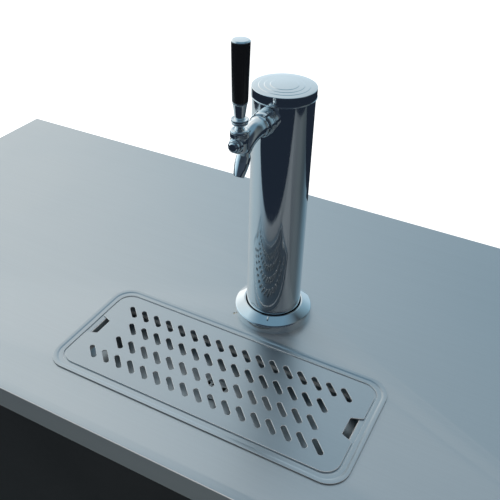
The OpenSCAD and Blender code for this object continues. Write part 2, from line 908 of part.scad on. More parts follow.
module condenser_shroud() {
    color([0.14, 0.14, 0.15])
        translate([machine_mid_x, condenser_y0 + condenser_deep, condenser_z0]) {
            duct_r = condenser_fan_d / 2 + blade_gap;
            difference() {
                union() {
                    block(-condenser_w / 2, condenser_w / 2, 0, shroud_t, 0, condenser_h);
                    translate([0, 0, condenser_h / 2]) bar_y(duct_r + duct_wall, 0, shroud_t + duct_h);
                    for (sx = [-1, 1]) block(sx * condenser_w / 2 - (sx + 1) / 2 * shroud_t,
                        sx * condenser_w / 2 + (1 - sx) / 2 * shroud_t, 0, duct_h,
                        cold_z0 - condenser_z0, condenser_h);
                }
                translate([0, 0, condenser_h / 2]) bar_y(duct_r, -cut, shroud_t + duct_h + cut);
            }
        }
}

module axial_fan(d, deep, blades) {
    hub_r = d * hub_share;
    difference() {
        union() {
            bar_y(hub_r, 0, deep);
            intersection() {
                for (i = [0 : blades - 1]) rotate([0, i * 360 / blades, 0]) rotate([0, 0, blade_pitch])
                    translate([-d / 2, deep / 2, 0]) block(d / 2 - deep / 2, d / 2 + deep / 2,
                        -blade_t / 2 - deep / 4, blade_t / 2 - deep / 4, 0, d);
                bar_y(d / 2, 0, deep);
            }
        }
        bar_y(motor_shaft_r + run_play, -cut, deep + cut);
    }
}

module condenser_fan() {
    color([0.75, 0.76, 0.78]) translate([machine_mid_x, fan_y0, fan_z])
        axial_fan(condenser_fan_d, blade_deep, 5);
}

module fan_motor(d, can_r, arms_y, duct_r) {
    bar_y(motor_shaft_r, 0, arms_y);
    bar_y(can_r, arms_y - motor_nose, arms_y + motor_l);
    for (i = [0 : 2]) rotate([0, i * 120 + motor_arm_turn, 0])
        block(-motor_arm_w / 2, motor_arm_w / 2, arms_y, arms_y + motor_arm_t, can_r / 2, duct_r);
}

module condenser_motor() {
    color([0.2, 0.2, 0.22]) translate([machine_mid_x, fan_y0, fan_z])
        fan_motor(condenser_fan_d, condenser_fan_d * motor_share / 2,
                  shroud_t + duct_h - (shroud_t + blade_gap), condenser_fan_d / 2 + blade_gap + duct_wall);
}

module condensate_tray() {
    y0 = fan_y0 + condensate_gap + motor_l;
    y1 = compressor_y - compressor_plate[1] / 2 - condensate_clear;
    x0 = machine_mid_x - condensate_tray_w / 2;
    x1 = machine_mid_x + condensate_tray_w / 2;
    color([0.2, 0.2, 0.2]) difference() {
        block(x0, x1, y0, y1, cold_z0, cold_z0 + condensate_tray_h);
        block(x0 + condensate_tray_t, x1 - condensate_tray_t, y0 + condensate_tray_t,
              y1 - condensate_tray_t, cold_z0 + condensate_tray_t,
              cold_z0 + condensate_tray_h + cut);
    }
}

module refrigerant_lines() {
    suction_x = machine_mid_x + port_x;
    discharge_x = machine_mid_x - port_x;
    liquid_x = machine_mid_x - condenser_w / 2 + end_plate_t + liquid_r;
    coil_x = inside_x0 + evaporator_coil_deep / 2;
    coil_y = evaporator_y0 + evaporator_w - evaporator_coil_end;
    condenser_y = condenser_y0 + condenser_deep / 2;
    condenser_top = condenser_z0 + condenser_h;
    color([0.72, 0.45, 0.3]) {
        pipe([[suction_x, compressor_y, port_z], [suction_x, compressor_y, line_pass_z],
              [suction_x, line_pass_y, line_pass_z], [coil_x, line_pass_y, line_pass_z],
              [coil_x, coil_y, line_pass_z]], suction_r);
        pipe([[liquid_x, condenser_y, condenser_top], [liquid_x, condenser_y, line_pass_z - line_pass_gap],
              [liquid_x, line_pass_y, line_pass_z - line_pass_gap],
              [coil_x, line_pass_y, line_pass_z - line_pass_gap],
              [coil_x, coil_y, line_pass_z - line_pass_gap]], liquid_r);
        pipe([[discharge_x, compressor_y, port_z], [discharge_x, compressor_y, condenser_top + line_over],
              [discharge_x, condenser_y, condenser_top + line_over],
              [discharge_x, condenser_y, condenser_top]], liquid_r);
    }
}

// Evaporator in the cold box

module evaporator_housing() {
    y0 = evaporator_y0;
    y1 = evaporator_y0 + evaporator_w;
    z1 = evaporator_z1;
    z0 = evaporator_z1 - evaporator_h;
    x1 = inside_x0 + evaporator_deep;
    side_x1 = x1 - housing_t - seam;
    duct_r = evaporator_fan_d / 2 + blade_gap;
    intake_w = 8;
    intake_pitch = 20;
    intakes = 12;
    duct_x0 = x1 - housing_t - blade_deep - blade_gap;
    color([0.8, 0.82, 0.84]) {
        difference() {
            union() {
                block(x1 - housing_t, x1, y0, y1, z0, z1);
                translate([0, (y0 + y1) / 2, (z0 + z1) / 2]) bar_x(duct_r + duct_wall, duct_x0, x1);
            }
            translate([0, (y0 + y1) / 2, (z0 + z1) / 2]) bar_x(duct_r, duct_x0 - cut, x1 + cut);
        }
        difference() {
            block(inside_x0, side_x1, y0, y1, z0, z0 + housing_t);
            for (i = [0 : intakes - 1])
                block(inside_x0 + evaporator_inset, x1 - evaporator_inset,
                      y0 + evaporator_inset + i * intake_pitch,
                      y0 + evaporator_inset + i * intake_pitch + intake_w,
                      z0 - cut, z0 + housing_t + cut);
        }
        block(inside_x0, side_x1, y0, y1, z1 - housing_t, z1);
        for (y = [y0, y1 - housing_t])
            block(inside_x0, side_x1, y, y + housing_t, z0 + housing_t + seam, z1 - housing_t - seam);
    }
}

module evaporator_coil() {
    coil_w = evaporator_w - evaporator_inset - evaporator_coil_end;
    coil_h = evaporator_h - 2 * evaporator_inset;
    color([0.7, 0.72, 0.74])
        translate([inside_x0 + evaporator_coil_deep / 2, evaporator_y0 + evaporator_inset + coil_w / 2,
                   evaporator_z1 - evaporator_h + evaporator_inset])
            rotate([0, 0, 90]) {
                fin_block(coil_w, evaporator_coil_deep, coil_h, evaporator_fins,
                          evaporator_coil_deep * core_share);
                translate([coil_w / 2, 0, coil_h * bend_band_share])
                    return_bends(coil_h * (1 - bend_band_share), coil_rows - 1);
            }
}

module at_evaporator_fan() {
    translate([inside_x0 + evaporator_deep - housing_t, evaporator_y0 + evaporator_w / 2,
               evaporator_z1 - evaporator_h / 2]) rotate([0, 0, 90]) children();
}

module evaporator_fan() {
    color([0.15, 0.15, 0.16]) at_evaporator_fan() axial_fan(evaporator_fan_d, blade_deep, 5);
}

module evaporator_motor() {
    color([0.2, 0.2, 0.22]) at_evaporator_fan()
        fan_motor(evaporator_fan_d, evaporator_fan_d * motor_share / 2, blade_deep + blade_gap,
                  evaporator_fan_d / 2 + blade_gap + duct_wall);
}

module thermostat() {
    x0 = inside_x0 + thermostat_inset;
    z0 = evaporator_z1 - evaporator_h / 2 - thermostat_h / 2;
    color([0.15, 0.15, 0.16]) {
        block(x0, x0 + thermostat_w, evaporator_y0 - thermostat_deep, evaporator_y0, z0, z0 + thermostat_h);
        translate([x0 + thermostat_w / 2, 0, z0 + thermostat_h / 2])
            bar_y(spindle_r, evaporator_y0 - thermostat_deep - spindle_l, evaporator_y0 - thermostat_deep);
    }
}

module thermostat_knob() {
    y1 = evaporator_y0 - thermostat_deep - air_gap;
    color([0.05, 0.05, 0.05]) translate([inside_x0 + thermostat_inset + thermostat_w / 2, 0,
                                         evaporator_z1 - evaporator_h / 2]) difference() {
        union() {
            bar_y(knob_r, y1 - knob_h / 2, y1);
            block(-knob_grip_w / 2, knob_grip_w / 2, y1 - knob_h, y1 - knob_h / 2, -knob_r, knob_r);
            bar_y(knob_grip_w, y1 - knob_h, y1);
        }
        bar_y(spindle_r + run_play, y1 - spindle_l, y1 + cut);
    }
}

// Drip tray

// The pan's floor in quarters and, a seam apart from it, its four walls and four corners
module tray_pan() {
    rebate_w = grille_w + 2 * rebate_gap;
    rebate_d = grille_d + 2 * rebate_gap;
    inner_w = rebate_w - 2 * ledge_w;
    inner_d = rebate_d - 2 * ledge_w;
    color([0.68, 0.73, 0.77]) at_tray() {
        difference() {
            union() {
                linear_extrude(rim_t) round_rect(tray_w, tray_d, tray_r);
                translate([0, 0, -well_deep - tray_wall]) linear_extrude(well_deep + tray_wall)
                    round_rect(rebate_w + 2 * tray_wall, rebate_d + 2 * tray_wall, grille_r + tray_wall);
            }
            translate([0, 0, rim_t - grille_t]) linear_extrude(grille_t + cut)
                round_rect(rebate_w, rebate_d, grille_r);
            translate([0, 0, -well_deep - tray_wall - cut])
                linear_extrude(well_deep + tray_wall + 2 * cut) round_rect(inner_w, inner_d, well_r);
            for (sx = [-1, 1]) translate([sx * (inner_w / 2 - well_r), 0, -well_deep])
                cube([seam, 2 * tray_d, 4 * well_deep], center = true);
            for (sy = [-1, 1]) translate([0, sy * (inner_d / 2 - well_r), -well_deep])
                cube([2 * tray_w, seam, 4 * well_deep], center = true);
        }
        translate([0, 0, -well_deep - tray_wall]) linear_extrude(tray_wall) difference() {
            round_rect(inner_w - 2 * seam, inner_d - 2 * seam, well_r - seam);
            circle(r = tail_r + drop_play);
            square([seam, tray_d], center = true);
            square([tray_w, seam], center = true);
        }
    }
}

module grille_notch() {
    polygon([[0, -notch_w / 2], [0, notch_w / 2], [notch_deep + cut, notch_mouth_w / 2],
             [notch_deep + cut, -notch_mouth_w / 2]]);
}

module tray_grille() {
    rows = len(slot_row_counts);
    color([0.68, 0.73, 0.77]) at_tray() translate([0, 0, rim_t - grille_t]) linear_extrude(grille_t)
        difference() {
            round_rect(grille_w, grille_d, grille_r);
            for (row = [0 : rows - 1], i = [0 : slot_row_counts[row] - 1])
                translate([(i - (slot_row_counts[row] - 1) / 2) * slot_pitch,
                           ((rows - 1) / 2 - row) * row_pitch])
                    rotate(slot_angle) slot_2d(slot_l, slot_w);
            for (turn = [0, 180]) rotate(turn) translate([grille_w / 2 - notch_deep, 0]) grille_notch();
        }
}

module drain_strainer() {
    color([0.6, 0.65, 0.7]) at_tray() translate([0, 0, -well_deep]) {
        difference() {
            cylinder(h = drain_flange_t, r = drain_r);
            translate([0, 0, -cut]) cylinder(h = drain_flange_t + 2 * cut, r = tail_r - tail_wall);
        }
        for (i = [0, 1]) rotate([0, 0, i * 90 + strainer_turn])
            translate([-tail_r, -strainer_bar_w / 2, 0]) cube([2 * tail_r, strainer_bar_w, strainer_t]);
        tube(tail_r * strainer_ring_share, strainer_bar_w, strainer_t);
    }
}

module drain_tailpiece() {
    color([0.7, 0.72, 0.74]) at_tray() translate([0, 0, -well_deep - tail_l - outlet_l])
        difference() {
            union() {
                cylinder(h = outlet_l + tail_wall, r = outlet_r);
                translate([0, 0, outlet_l]) cylinder(h = tail_l, r = tail_r);
            }
            translate([0, 0, -cut]) cylinder(h = outlet_l + tail_l + 2 * cut, r = outlet_r - tail_wall);
            translate([0, 0, outlet_l + tail_wall]) cylinder(h = tail_l, r = tail_r - tail_wall);
        }
}

module drain_nut() {
    color([0.25, 0.25, 0.26]) at_tray()
        translate([0, 0, -well_deep - tray_wall - drain_nut_h]) difference() {
            hex_prism(drain_nut_r, drain_nut_h);
            translate([0, 0, -cut]) cylinder(h = drain_nut_h + 2 * cut, r = tail_r);
        }
}

// Tower

module screw_ring(z0, h, r) {
    for (i = [0 : 3]) rotate([0, 0, i * 90 + 45]) translate([flange_screw_r, 0, z0]) cylinder(h = h, r = r);
}

module tower_gasket() {
    color([0.12, 0.12, 0.12]) at_tower() difference() {
        cylinder(h = gasket_plate_t, r = flange_r);
        translate([0, 0, -cut]) cylinder(h = gasket_plate_t + 2 * cut, r = line_hole_r);
        screw_ring(-cut, gasket_plate_t + 2 * cut, screw_hole_r);
    }
}

module tower_flange() {
    color([0.72, 0.74, 0.76]) at_tower() translate([0, 0, gasket_plate_t]) difference() {
        cylinder(h = flange_t, r = flange_r);
        translate([0, 0, -cut]) cylinder(h = flange_t + 2 * cut, r = line_hole_r);
        screw_ring(-cut, flange_t + 2 * cut, screw_hole_r);
    }
}

module tower_screws() {
    color([0.75, 0.77, 0.79]) at_tower() {
        screw_ring(gasket_plate_t + flange_t, screw_head_h, screw_head_r);
        screw_ring(gasket_plate_t + flange_t - screw_l, screw_l, screw_hole_r - run_play);
    }
}

module trim_ring() {
    r = ring_d / 2;
    side = ring_h * ring_side_share;
    throat = column_d / 2 + ring_throat_gap;
    edge_steps = 4;
    outer = [for (i = [0 : edge_steps])
        [r - ring_edge_r + ring_edge_r * cos(i * 90 / edge_steps),
         side + ring_edge_r * sin(i * 90 / edge_steps)]];
    inner = [for (i = [edge_steps : -1 : 0])
        [r - ring_edge_r + (ring_edge_r - ring_wall) * cos(i * 90 / edge_steps),
         side + (ring_edge_r - ring_wall) * sin(i * 90 / edge_steps)]];
    color([0.8, 0.83, 0.86]) at_tower() rotate_extrude()
        polygon(concat([[r, 0]], outer, [[throat + ring_wall, ring_h], [throat, ring_h],
                [throat, ring_h - ring_wall]], inner, [[r - ring_wall, 0]]));
}

module tower_column() {
    color([0.3, 0.33, 0.37]) at_tower() difference() {
        translate([0, 0, gasket_plate_t + flange_t])
            tube(column_d / 2, column_wall, column_h - gasket_plate_t - flange_t);
        translate([0, 0, tap_z]) bar_y(shank_r, -column_d, 0);
    }
}

module column_insulation() {
    top = column_h - sleeve_top_drop;
    color([0.2, 0.2, 0.2]) at_tower() translate([0, 0, gasket_plate_t + flange_t]) difference() {
        cylinder(h = top - gasket_plate_t - flange_t, r = column_d / 2 - column_wall - sleeve_gap);
        translate([0, 0, -cut]) cylinder(h = top, r = line_r);
    }
}

module column_cap() {
    r = column_d / 2 + air_gap + cap_wall;
    steps = len(cap_step_shares);
    color([0.84, 0.87, 0.9]) at_tower() translate([0, 0, column_h]) {
        cylinder(h = cap_t - cap_step_h, r = r);
        translate([0, 0, cap_t - cap_step_h]) cylinder(h = cap_step_h, r1 = r, r2 = r - cap_step_h);
        for (i = [0 : steps - 1]) translate([0, 0, cap_t])
            cylinder(h = (i + 1) * cap_step_h / steps, r = r * cap_step_shares[i]);
        translate([0, 0, cap_t - cap_h]) tube(r, cap_wall, cap_h - cap_t);
    }
}

// Shank through the column

module shank() {
    color([0.75, 0.77, 0.8]) at_tap() difference() {
        bar_y(shank_r, -coupling_back - coupling_l / 2, -shank_back);
        bar_y(shank_bore_r, -coupling_back - coupling_l, -shank_back + cut);
    }
}

module shank_flange() {
    color([0.8, 0.82, 0.85]) at_tap() difference() {
        bar_y(coupling_d / 2 - sheet_t, -coupling_back, -column_d / 4);
        translate([0, 0, -coupling_d]) cylinder(h = 2 * coupling_d, r = column_d / 2);
        bar_y(shank_r, -column_d, 0);
    }
}

module shank_nut() {
    color([0.75, 0.77, 0.8]) at_tap() difference() {
        intersection() {
            bar_y(shank_nut_r, -column_d / 2, -shank_back - shank_washer_t);
            translate([0, 0, -column_d / 2]) cylinder(h = column_d, r = column_d / 2 - column_wall);
        }
        bar_y(shank_r, -column_d, 0);
    }
}

module elbow_bend(r) {
    translate([0, -elbow_bend_r, -elbow_bend_r]) rotate([0, -90, 0])
        rotate_extrude(angle = 90) translate([elbow_bend_r, 0]) circle(r = r);
}

module shank_elbow() {
    color([0.75, 0.77, 0.8]) at_tap() difference() {
        union() {
            bar_y(elbow_r, -shank_back, -elbow_bend_r);
            elbow_bend(elbow_r);
            translate([0, 0, -elbow_bend_r - elbow_r]) cylinder(h = elbow_r, r = elbow_r);
            translate([0, 0, -elbow_bend_r - elbow_r - barb_l]) cylinder(h = barb_l, r = barb_r);
        }
        bar_y(elbow_bore_r, -shank_back - cut, -elbow_bend_r);
        elbow_bend(elbow_bore_r);
        translate([0, 0, -elbow_bend_r - elbow_r - barb_l - cut])
            cylinder(h = barb_l + elbow_r + cut, r = elbow_bore_r);
    }
}

module beer_line() {
    top = tap_z - elbow_bend_r - elbow_r;
    foot = -top_edge_h - line_tail;
    color([0.85, 0.87, 0.85]) at_tower() difference() {
        translate([0, 0, foot]) cylinder(h = top - foot, r = line_r);
        translate([0, 0, foot - cut]) cylinder(h = top - foot + 2 * cut, r = line_bore_r);
    }
}

// Tap

module coupling_nut() {
    notch_count = 6;
    nut_notch_w = 3;
    notch_in = 1.5;
    chamfer = 1.2;
    color([0.8, 0.82, 0.85]) at_tap() difference() {
        union() {
            bar_y(coupling_d / 2, -coupling_back - coupling_l + chamfer, -coupling_back - chamfer);
            taper_y(coupling_d / 2, coupling_d / 2 - chamfer, -coupling_back - chamfer, -coupling_back);
            taper_y(coupling_d / 2 - chamfer, coupling_d / 2, -coupling_back - coupling_l,
                    -coupling_back - coupling_l + chamfer);
        }
        bar_y(shank_r, -coupling_back - coupling_l / 2, -coupling_back + cut);
        bar_y(body_back_r, -coupling_back - coupling_l - cut, -coupling_back - coupling_l / 2);
        for (i = [0 : notch_count - 1]) rotate([0, i * 360 / notch_count, 0])
            block(-nut_notch_w / 2, nut_notch_w / 2, -coupling_back - coupling_l - cut,
                  -coupling_back - coupling_l / 2, coupling_d / 2 - notch_in, coupling_d);
    }
}

// The curved body: discs set square to an arc and joined two by two
function horn_r(i) = horn_start_r + (horn_end_r - horn_start_r) * i / horn_steps;

module horn_disc(i, r) {
    turn = body_turn * i / horn_steps;
    thin = 0.2;
    translate([0, -body_bend_start, -spout_bend_r]) rotate([turn, 0, 0])
        translate([0, 0, spout_bend_r]) rotate([90, 0, 0]) cylinder(h = thin, r = r, $fn = 32);
}

module at_spout() {
    translate([0, -body_bend_start, -spout_bend_r]) rotate([body_turn, 0, 0])
        translate([0, 0, spout_bend_r]) rotate([90, 0, 0]) children();
}

module faucet_body() {
    color([0.78, 0.81, 0.85]) at_tap() difference() {
        union() {
            bar_y(body_back_r, body_y1 - body_lip_t + coupling_l / 2, -coupling_back - coupling_l / 2);
            taper_y(horn_start_r, body_back_r, -body_bend_start, body_y1 + coupling_l / 2 - body_lip_t);
            for (i = [0 : horn_steps - 1]) hull() {
                horn_disc(i, horn_r(i));
                horn_disc(i + 1, horn_r(i + 1));
            }
            at_spout() cylinder(h = spout_l, r1 = horn_end_r, r2 = spout_tip_d / 2);
            translate([0, -lever_reach, -barrel_drop])
                cylinder(h = barrel_drop + bonnet_rise - bonnet_h, r = barrel_r);
            taper_y(plug_r + bonnet_edge, horn_start_r - bonnet_edge,
                    -lever_reach - barrel_r + bonnet_edge, -body_bend_start);
        }
        bar_y(chamber_r, -lever_reach - barrel_r, seat_y - seat_t);
        bar_y(seat_r, seat_y - seat_t - cut, seat_y + cut);
        bar_y(seal_r + air_gap, seat_y, -coupling_back);
        translate([0, -lever_reach, 0]) cylinder(h = bonnet_rise, r = lever_slot_r);
        translate([0, -lever_reach, bonnet_rise - bonnet_h])
            cylinder(h = bonnet_h, r = bonnet_d / 2 + air_gap);
        at_spout() translate([0, 0, -spout_bend_r / 2])
            cylinder(h = spout_l + spout_bend_r, r = spout_bore_r);
    }
}

module faucet_bonnet() {
    r = bonnet_d / 2;
    z0 = bonnet_z - bonnet_h;
    color([0.82, 0.84, 0.87]) at_lever() difference() {
        union() {
            translate([0, 0, z0]) cylinder(h = bonnet_z - bonnet_edge - z0, r = r);
            translate([0, 0, bonnet_z - bonnet_edge]) cylinder(h = bonnet_edge, r1 = r, r2 = r - bonnet_edge);
        }
        translate([0, 0, pivot_z]) sphere(r = ball_r + air_gap);
        translate([0, 0, z0 - cut]) cylinder(h = pivot_z - z0 + cut, r = ball_r + air_gap);
        translate([0, 0, pivot_z]) cylinder(h = pivot_drop + cut, r = lever_throat_r);
    }
}

module front_plug() {
    color([0.8, 0.83, 0.86]) at_tap() difference() {
        bar_y(plug_r, -lever_reach - plug_nose, -lever_reach - barrel_r);
        bar_y(shaft_r + run_play, -lever_reach - plug_nose + plug_face_t, 0);
    }
}

module faucet_shaft() {
    color([0.7, 0.72, 0.74]) at_tap() difference() {
        union() {
            bar_y(shaft_r, -lever_reach - shaft_nose, seat_y);
            bar_y(shaft_eye_r, -lever_reach - shaft_eye_shift - shaft_eye_l / 2,
                  -lever_reach - shaft_eye_shift + shaft_eye_l / 2);
            bar_y(seal_r, seat_y, seat_y + seal_t);
        }
        translate([0, -lever_reach - shaft_eye_shift, -shaft_eye_r - cut])
            linear_extrude(2 * (shaft_eye_r + cut)) rotate(90)
                slot_2d(eye_slot_l, 2 * (lever_tip_r + eye_slack));
    }
}

module faucet_lever() {
    tip_z = tap_z - lever_tip_over;
    color([0.75, 0.77, 0.8]) at_lever() {
        translate([0, 0, pivot_z]) sphere(r = ball_r);
        translate([0, 0, tip_z]) cylinder(h = pivot_z - tip_z, r = lever_tip_r);
        translate([0, 0, pivot_z]) cylinder(h = grip_z0 + stud_over - pivot_z, r = lever_neck_r);
    }
}

module lever_collar() {
    z0 = bonnet_z + pivot_drop;
    z2 = collar_z1 - collar_top_h - collar_groove_h;
    color([0.82, 0.84, 0.87]) at_lever() difference() {
        union() {
            translate([0, 0, z0]) cylinder(h = z2 - z0, r = collar_r);
            translate([0, 0, z2]) cylinder(h = collar_groove_h, r = collar_groove_r);
            translate([0, 0, collar_z1 - collar_top_h]) cylinder(h = collar_top_h, r = collar_r);
            translate([0, 0, collar_z1]) cylinder(h = ferrule_h, r1 = ferrule_foot_r, r2 = ferrule_top_r);
        }
        translate([0, 0, pivot_z]) sphere(r = collar_ball_r);
        translate([0, 0, z0 - cut]) cylinder(h = grip_z0 - z0 + 2 * cut, r = lever_neck_r);
    }
}

module tap_handle() {
    lean = atan((grip_top_d - grip_foot_d) / 2 / grip_h);
    color([0.04, 0.04, 0.045]) at_lever() difference() {
        translate([0, 0, grip_z0]) cylinder(h = grip_h, r1 = grip_foot_d / 2, r2 = grip_top_d / 2);
        for (i = [0 : flute_count - 1]) rotate([0, 0, i * 360 / flute_count])
            translate([grip_foot_d / 2 + flute_r * flute_out_share, 0, grip_z0 - cut]) rotate([0, lean, 0])
                cylinder(h = grip_h + 2 * cut, r = flute_r);
        translate([0, 0, grip_z0 - cut]) cylinder(h = stud_over + cut, r = lever_neck_r);
    }
}

module handle_cap() {
    color([0.85, 0.87, 0.9]) at_lever() translate([0, 0, grip_z1])
        cylinder(h = cap_disc_t, r1 = grip_top_d / 2, r2 = grip_top_d / 2 - cap_disc_inset);
}

outer_case();
case_insulation();
inner_liner();
front_frame();
door_rails();
worktop();
worktop_insulation();
machine_grille();
levelling_feet();
hinge_brackets();
door_left_panel();
door_left_core();
door_left_liner();
door_left_gasket();
door_left_handle();
door_right_panel();
door_right_core();
door_right_liner();
door_right_gasket();
door_right_handle();
compressor();
compressor_mounts();
condenser_coil();
condenser_shroud();
condenser_motor();
condenser_fan();
refrigerant_lines();
condensate_tray();
evaporator_coil();
evaporator_housing();
evaporator_motor();
evaporator_fan();
thermostat();
thermostat_knob();
tray_pan();
tray_grille();
drain_strainer();
drain_tailpiece();
drain_nut();
tower_gasket();
tower_flange();
tower_screws();
trim_ring();
tower_column();
column_insulation();
column_cap();
shank();
shank_flange();
shank_nut();
shank_elbow();
beer_line();
coupling_nut();
faucet_body();
faucet_bonnet();
front_plug();
faucet_shaft();
faucet_lever();
lever_collar();
tap_handle();
handle_cap();
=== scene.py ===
# Draft beer cooler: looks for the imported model, built with bpy in Blender 4.5
import bpy
import bmesh
import json
from math import sin, cos, tan, pi, radians, atan2
from mathutils import Matrix, Vector
from mathutils.geometry import tessellate_polygon


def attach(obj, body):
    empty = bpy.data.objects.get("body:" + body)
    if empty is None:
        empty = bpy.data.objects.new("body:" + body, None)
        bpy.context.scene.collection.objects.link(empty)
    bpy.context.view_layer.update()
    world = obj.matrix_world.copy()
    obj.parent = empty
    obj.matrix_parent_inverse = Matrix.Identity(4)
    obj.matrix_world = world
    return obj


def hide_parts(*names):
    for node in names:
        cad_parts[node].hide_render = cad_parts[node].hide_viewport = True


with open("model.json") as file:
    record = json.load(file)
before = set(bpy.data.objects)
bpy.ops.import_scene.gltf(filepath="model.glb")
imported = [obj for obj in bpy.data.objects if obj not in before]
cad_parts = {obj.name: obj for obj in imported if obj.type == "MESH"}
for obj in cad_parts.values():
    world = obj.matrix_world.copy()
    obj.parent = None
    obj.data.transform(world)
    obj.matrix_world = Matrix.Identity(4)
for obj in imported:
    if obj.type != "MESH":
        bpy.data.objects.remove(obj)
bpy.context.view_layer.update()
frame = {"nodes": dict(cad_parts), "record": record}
record = frame["record"]
nodes = frame["nodes"]
slotOf = {part["node"]: part["material_slot"] for part in record["subparts"]}
bodyOf = {node: body for body, members in record["behaviour"]["bodies"].items() for node in members}
print("frame: %d nodes" % len(nodes))

# camera, standing where the photograph was taken
cameraPlace = {
    "position": (0.319226, -0.710155, 1.587242),
    "azimuth": 27.12,      # degrees, turned left from +Y
    "elevation": 35.25,    # degrees, looking down
    "roll": 1.51,
    "lens": 49.45,         # millimetres, on a frame this wide
    "frameWidth": 36,
    "clip": (0.05, 60),
}


def makeCamera(place):
    a, e, roll = (radians(place[k]) for k in ("azimuth", "elevation", "roll"))
    forward = Vector((-sin(a) * cos(e), cos(a) * cos(e), -sin(e)))
    right = Vector((cos(a), sin(a), 0))
    up = right.cross(forward)
    rightRolled = right * cos(roll) + up * sin(roll)
    upRolled = up * cos(roll) - right * sin(roll)
    lens = bpy.data.cameras.new("camera")
    lens.lens = place["lens"]
    lens.sensor_width = place["frameWidth"]
    lens.sensor_fit = "HORIZONTAL"
    lens.clip_start, lens.clip_end = place["clip"]
    eye = bpy.data.objects.new("camera", lens)
    turn = Matrix((rightRolled, upRolled, -forward)).transposed().to_4x4()
    eye.matrix_world = Matrix.Translation(place["position"]) @ turn
    bpy.context.scene.collection.objects.link(eye)
    bpy.context.scene.camera = eye


makeCamera(cameraPlace)
bpy.context.scene.view_settings.view_transform = "Standard"
print("camera")


# node trees, written as expressions: a Wire is one output socket
class Wire:
    def __init__(self, graph, socket):
        self.graph, self.socket = graph, socket

    def reckon(self, kind, first, second=None):
        values = [first] if second is None else [first, second]
        return self.graph.put("ShaderNodeMath", {"operation": kind}, dict(enumerate(values)))

    def __add__(self, other):
        return self.reckon("ADD", self, other)

    def __radd__(self, other):
        return self.reckon("ADD", other, self)

    def __sub__(self, other):
        return self.reckon("SUBTRACT", self, other)

    def __rsub__(self, other):
        return self.reckon("SUBTRACT", other, self)

    def __mul__(self, other):
        return self.reckon("MULTIPLY", self, other)

    def __rmul__(self, other):
        return self.reckon("MULTIPLY", other, self)

    def __truediv__(self, other):
        return self.reckon("DIVIDE", self, other)

    def __rtruediv__(self, other):
        return self.reckon("DIVIDE", other, self)

    def __pow__(self, other):
        return self.reckon("POWER", self, other)

    def __gt__(self, other):
        return self.reckon("GREATER_THAN", self, other)

    def __lt__(self, other):
        return self.reckon("LESS_THAN", self, other)

    def sine(self):
        return self.reckon("SINE", self)

    def cosine(self):
        return self.reckon("COSINE", self)

    def sign(self):
        return self.reckon("SIGN", self)

    def size(self):
        return self.reckon("ABSOLUTE", self)

    def most(self, other):
        return self.reckon("MAXIMUM", self, other)

    def least(self, other):
        return self.reckon("MINIMUM", self, other)

    # one of a vector's three numbers
    def axis(self, letter):
        return self.graph.put("ShaderNodeSeparateXYZ", {}, {0: self}, out=letter)


class Graph:
    def __init__(self, tree):
        self.tree = tree
        tree.nodes.clear()

    # any node: its settings first, then values or links for its sockets
    def put(self, kind, settings=None, sockets=None, out=0):
        made = self.tree.nodes.new(kind)
        for name, value in (settings or {}).items():
            if name == "stops":
                ramp = made.color_ramp.elements
                while len(ramp) < len(value):
                    ramp.new(0.5)
                for stop, (place, colour) in zip(ramp, value):
                    stop.position = place
                    stop.color = (*colour, 1)
            else:
                setattr(made, name, value)
        for key, value in (sockets or {}).items():
            if isinstance(value, (Wire, list)):
                for wire in value if isinstance(value, list) else [value]:
                    self.tree.links.new(wire.socket, made.inputs[key])
            elif value is not None:
                made.inputs[key].default_value = value
        return Wire(self, made.outputs[out]) if len(made.outputs) else None

    def point(self, x=None, y=None, z=None):
        return self.put("ShaderNodeCombineXYZ", {}, {0: x, 1: y, 2: z})

    # a number carried from one span to another, and held at its ends
    def span(self, fac, low, high, fromLow=0.0, fromHigh=1.0):
        return self.put("ShaderNodeMapRange", {}, {"Value": fac, "From Min": fromLow, "From Max": fromHigh,
                                                   "To Min": low, "To Max": high})

    def blend(self, fac, first, second):
        first, second = (c if isinstance(c, Wire) else (*c, 1) for c in (first, second))
        return self.put("ShaderNodeMix", {"data_type": "RGBA"}, {0: fac, 6: first, 7: second}, out=2)


class Finish(Graph):
    def __init__(self, name, **fixed):
        self.material = bpy.data.materials.new(name)
        self.material.use_nodes = True
        super().__init__(self.material.node_tree)
        self.shader = self.tree.nodes.new("ShaderNodeBsdfPrincipled")
        end = self.tree.nodes.new("ShaderNodeOutputMaterial")
        self.tree.links.new(self.shader.outputs[0], end.inputs[0])
        for key, value in fixed.items():
            self.shader.inputs[key.replace("_", " ")].default_value = value
        self.place = self.put("ShaderNodeTexCoord", out="Object")

    def feed(self, socket, wire):
        self.tree.links.new(wire.socket, self.shader.inputs[socket])

    # the place, stretched: large numbers make fine marks
    def stretched(self, scale):
        return self.put("ShaderNodeMapping", {}, {"Vector": self.place, "Scale": scale})

    def noise(self, scale, detail=3, where=None, rough=0.5, bend=0.0):
        return self.put("ShaderNodeTexNoise", {}, {"Vector": where or self.place, "Scale": scale,
                        "Detail": detail, "Roughness": rough, "Distortion": bend}, out="Fac")

    def cells(self, scale, feature="F1", out="Distance"):
        return self.put("ShaderNodeTexVoronoi", {"feature": feature}, {"Vector": self.place, "Scale": scale},
                        out=out)

    # 1 on edges that stick out, 0 elsewhere
    def edges(self, low=0.52, high=0.6):
        return self.span(self.put("ShaderNodeNewGeometry", out="Pointiness"), 0, 1, low, high)

    def bump(self, height, depth, strength):
        self.feed("Normal", self.put("ShaderNodeBump", {}, {"Height": height, "Distance": depth,
                                                            "Strength": strength}, out="Normal"))


def weighed(marks, shares):
    first, *rest = [mark * share for mark, share in zip(marks, shares)]
    return sum(rest, first)


def shaded(colour, share):
    return tuple(min(1, c * share) for c in colour)


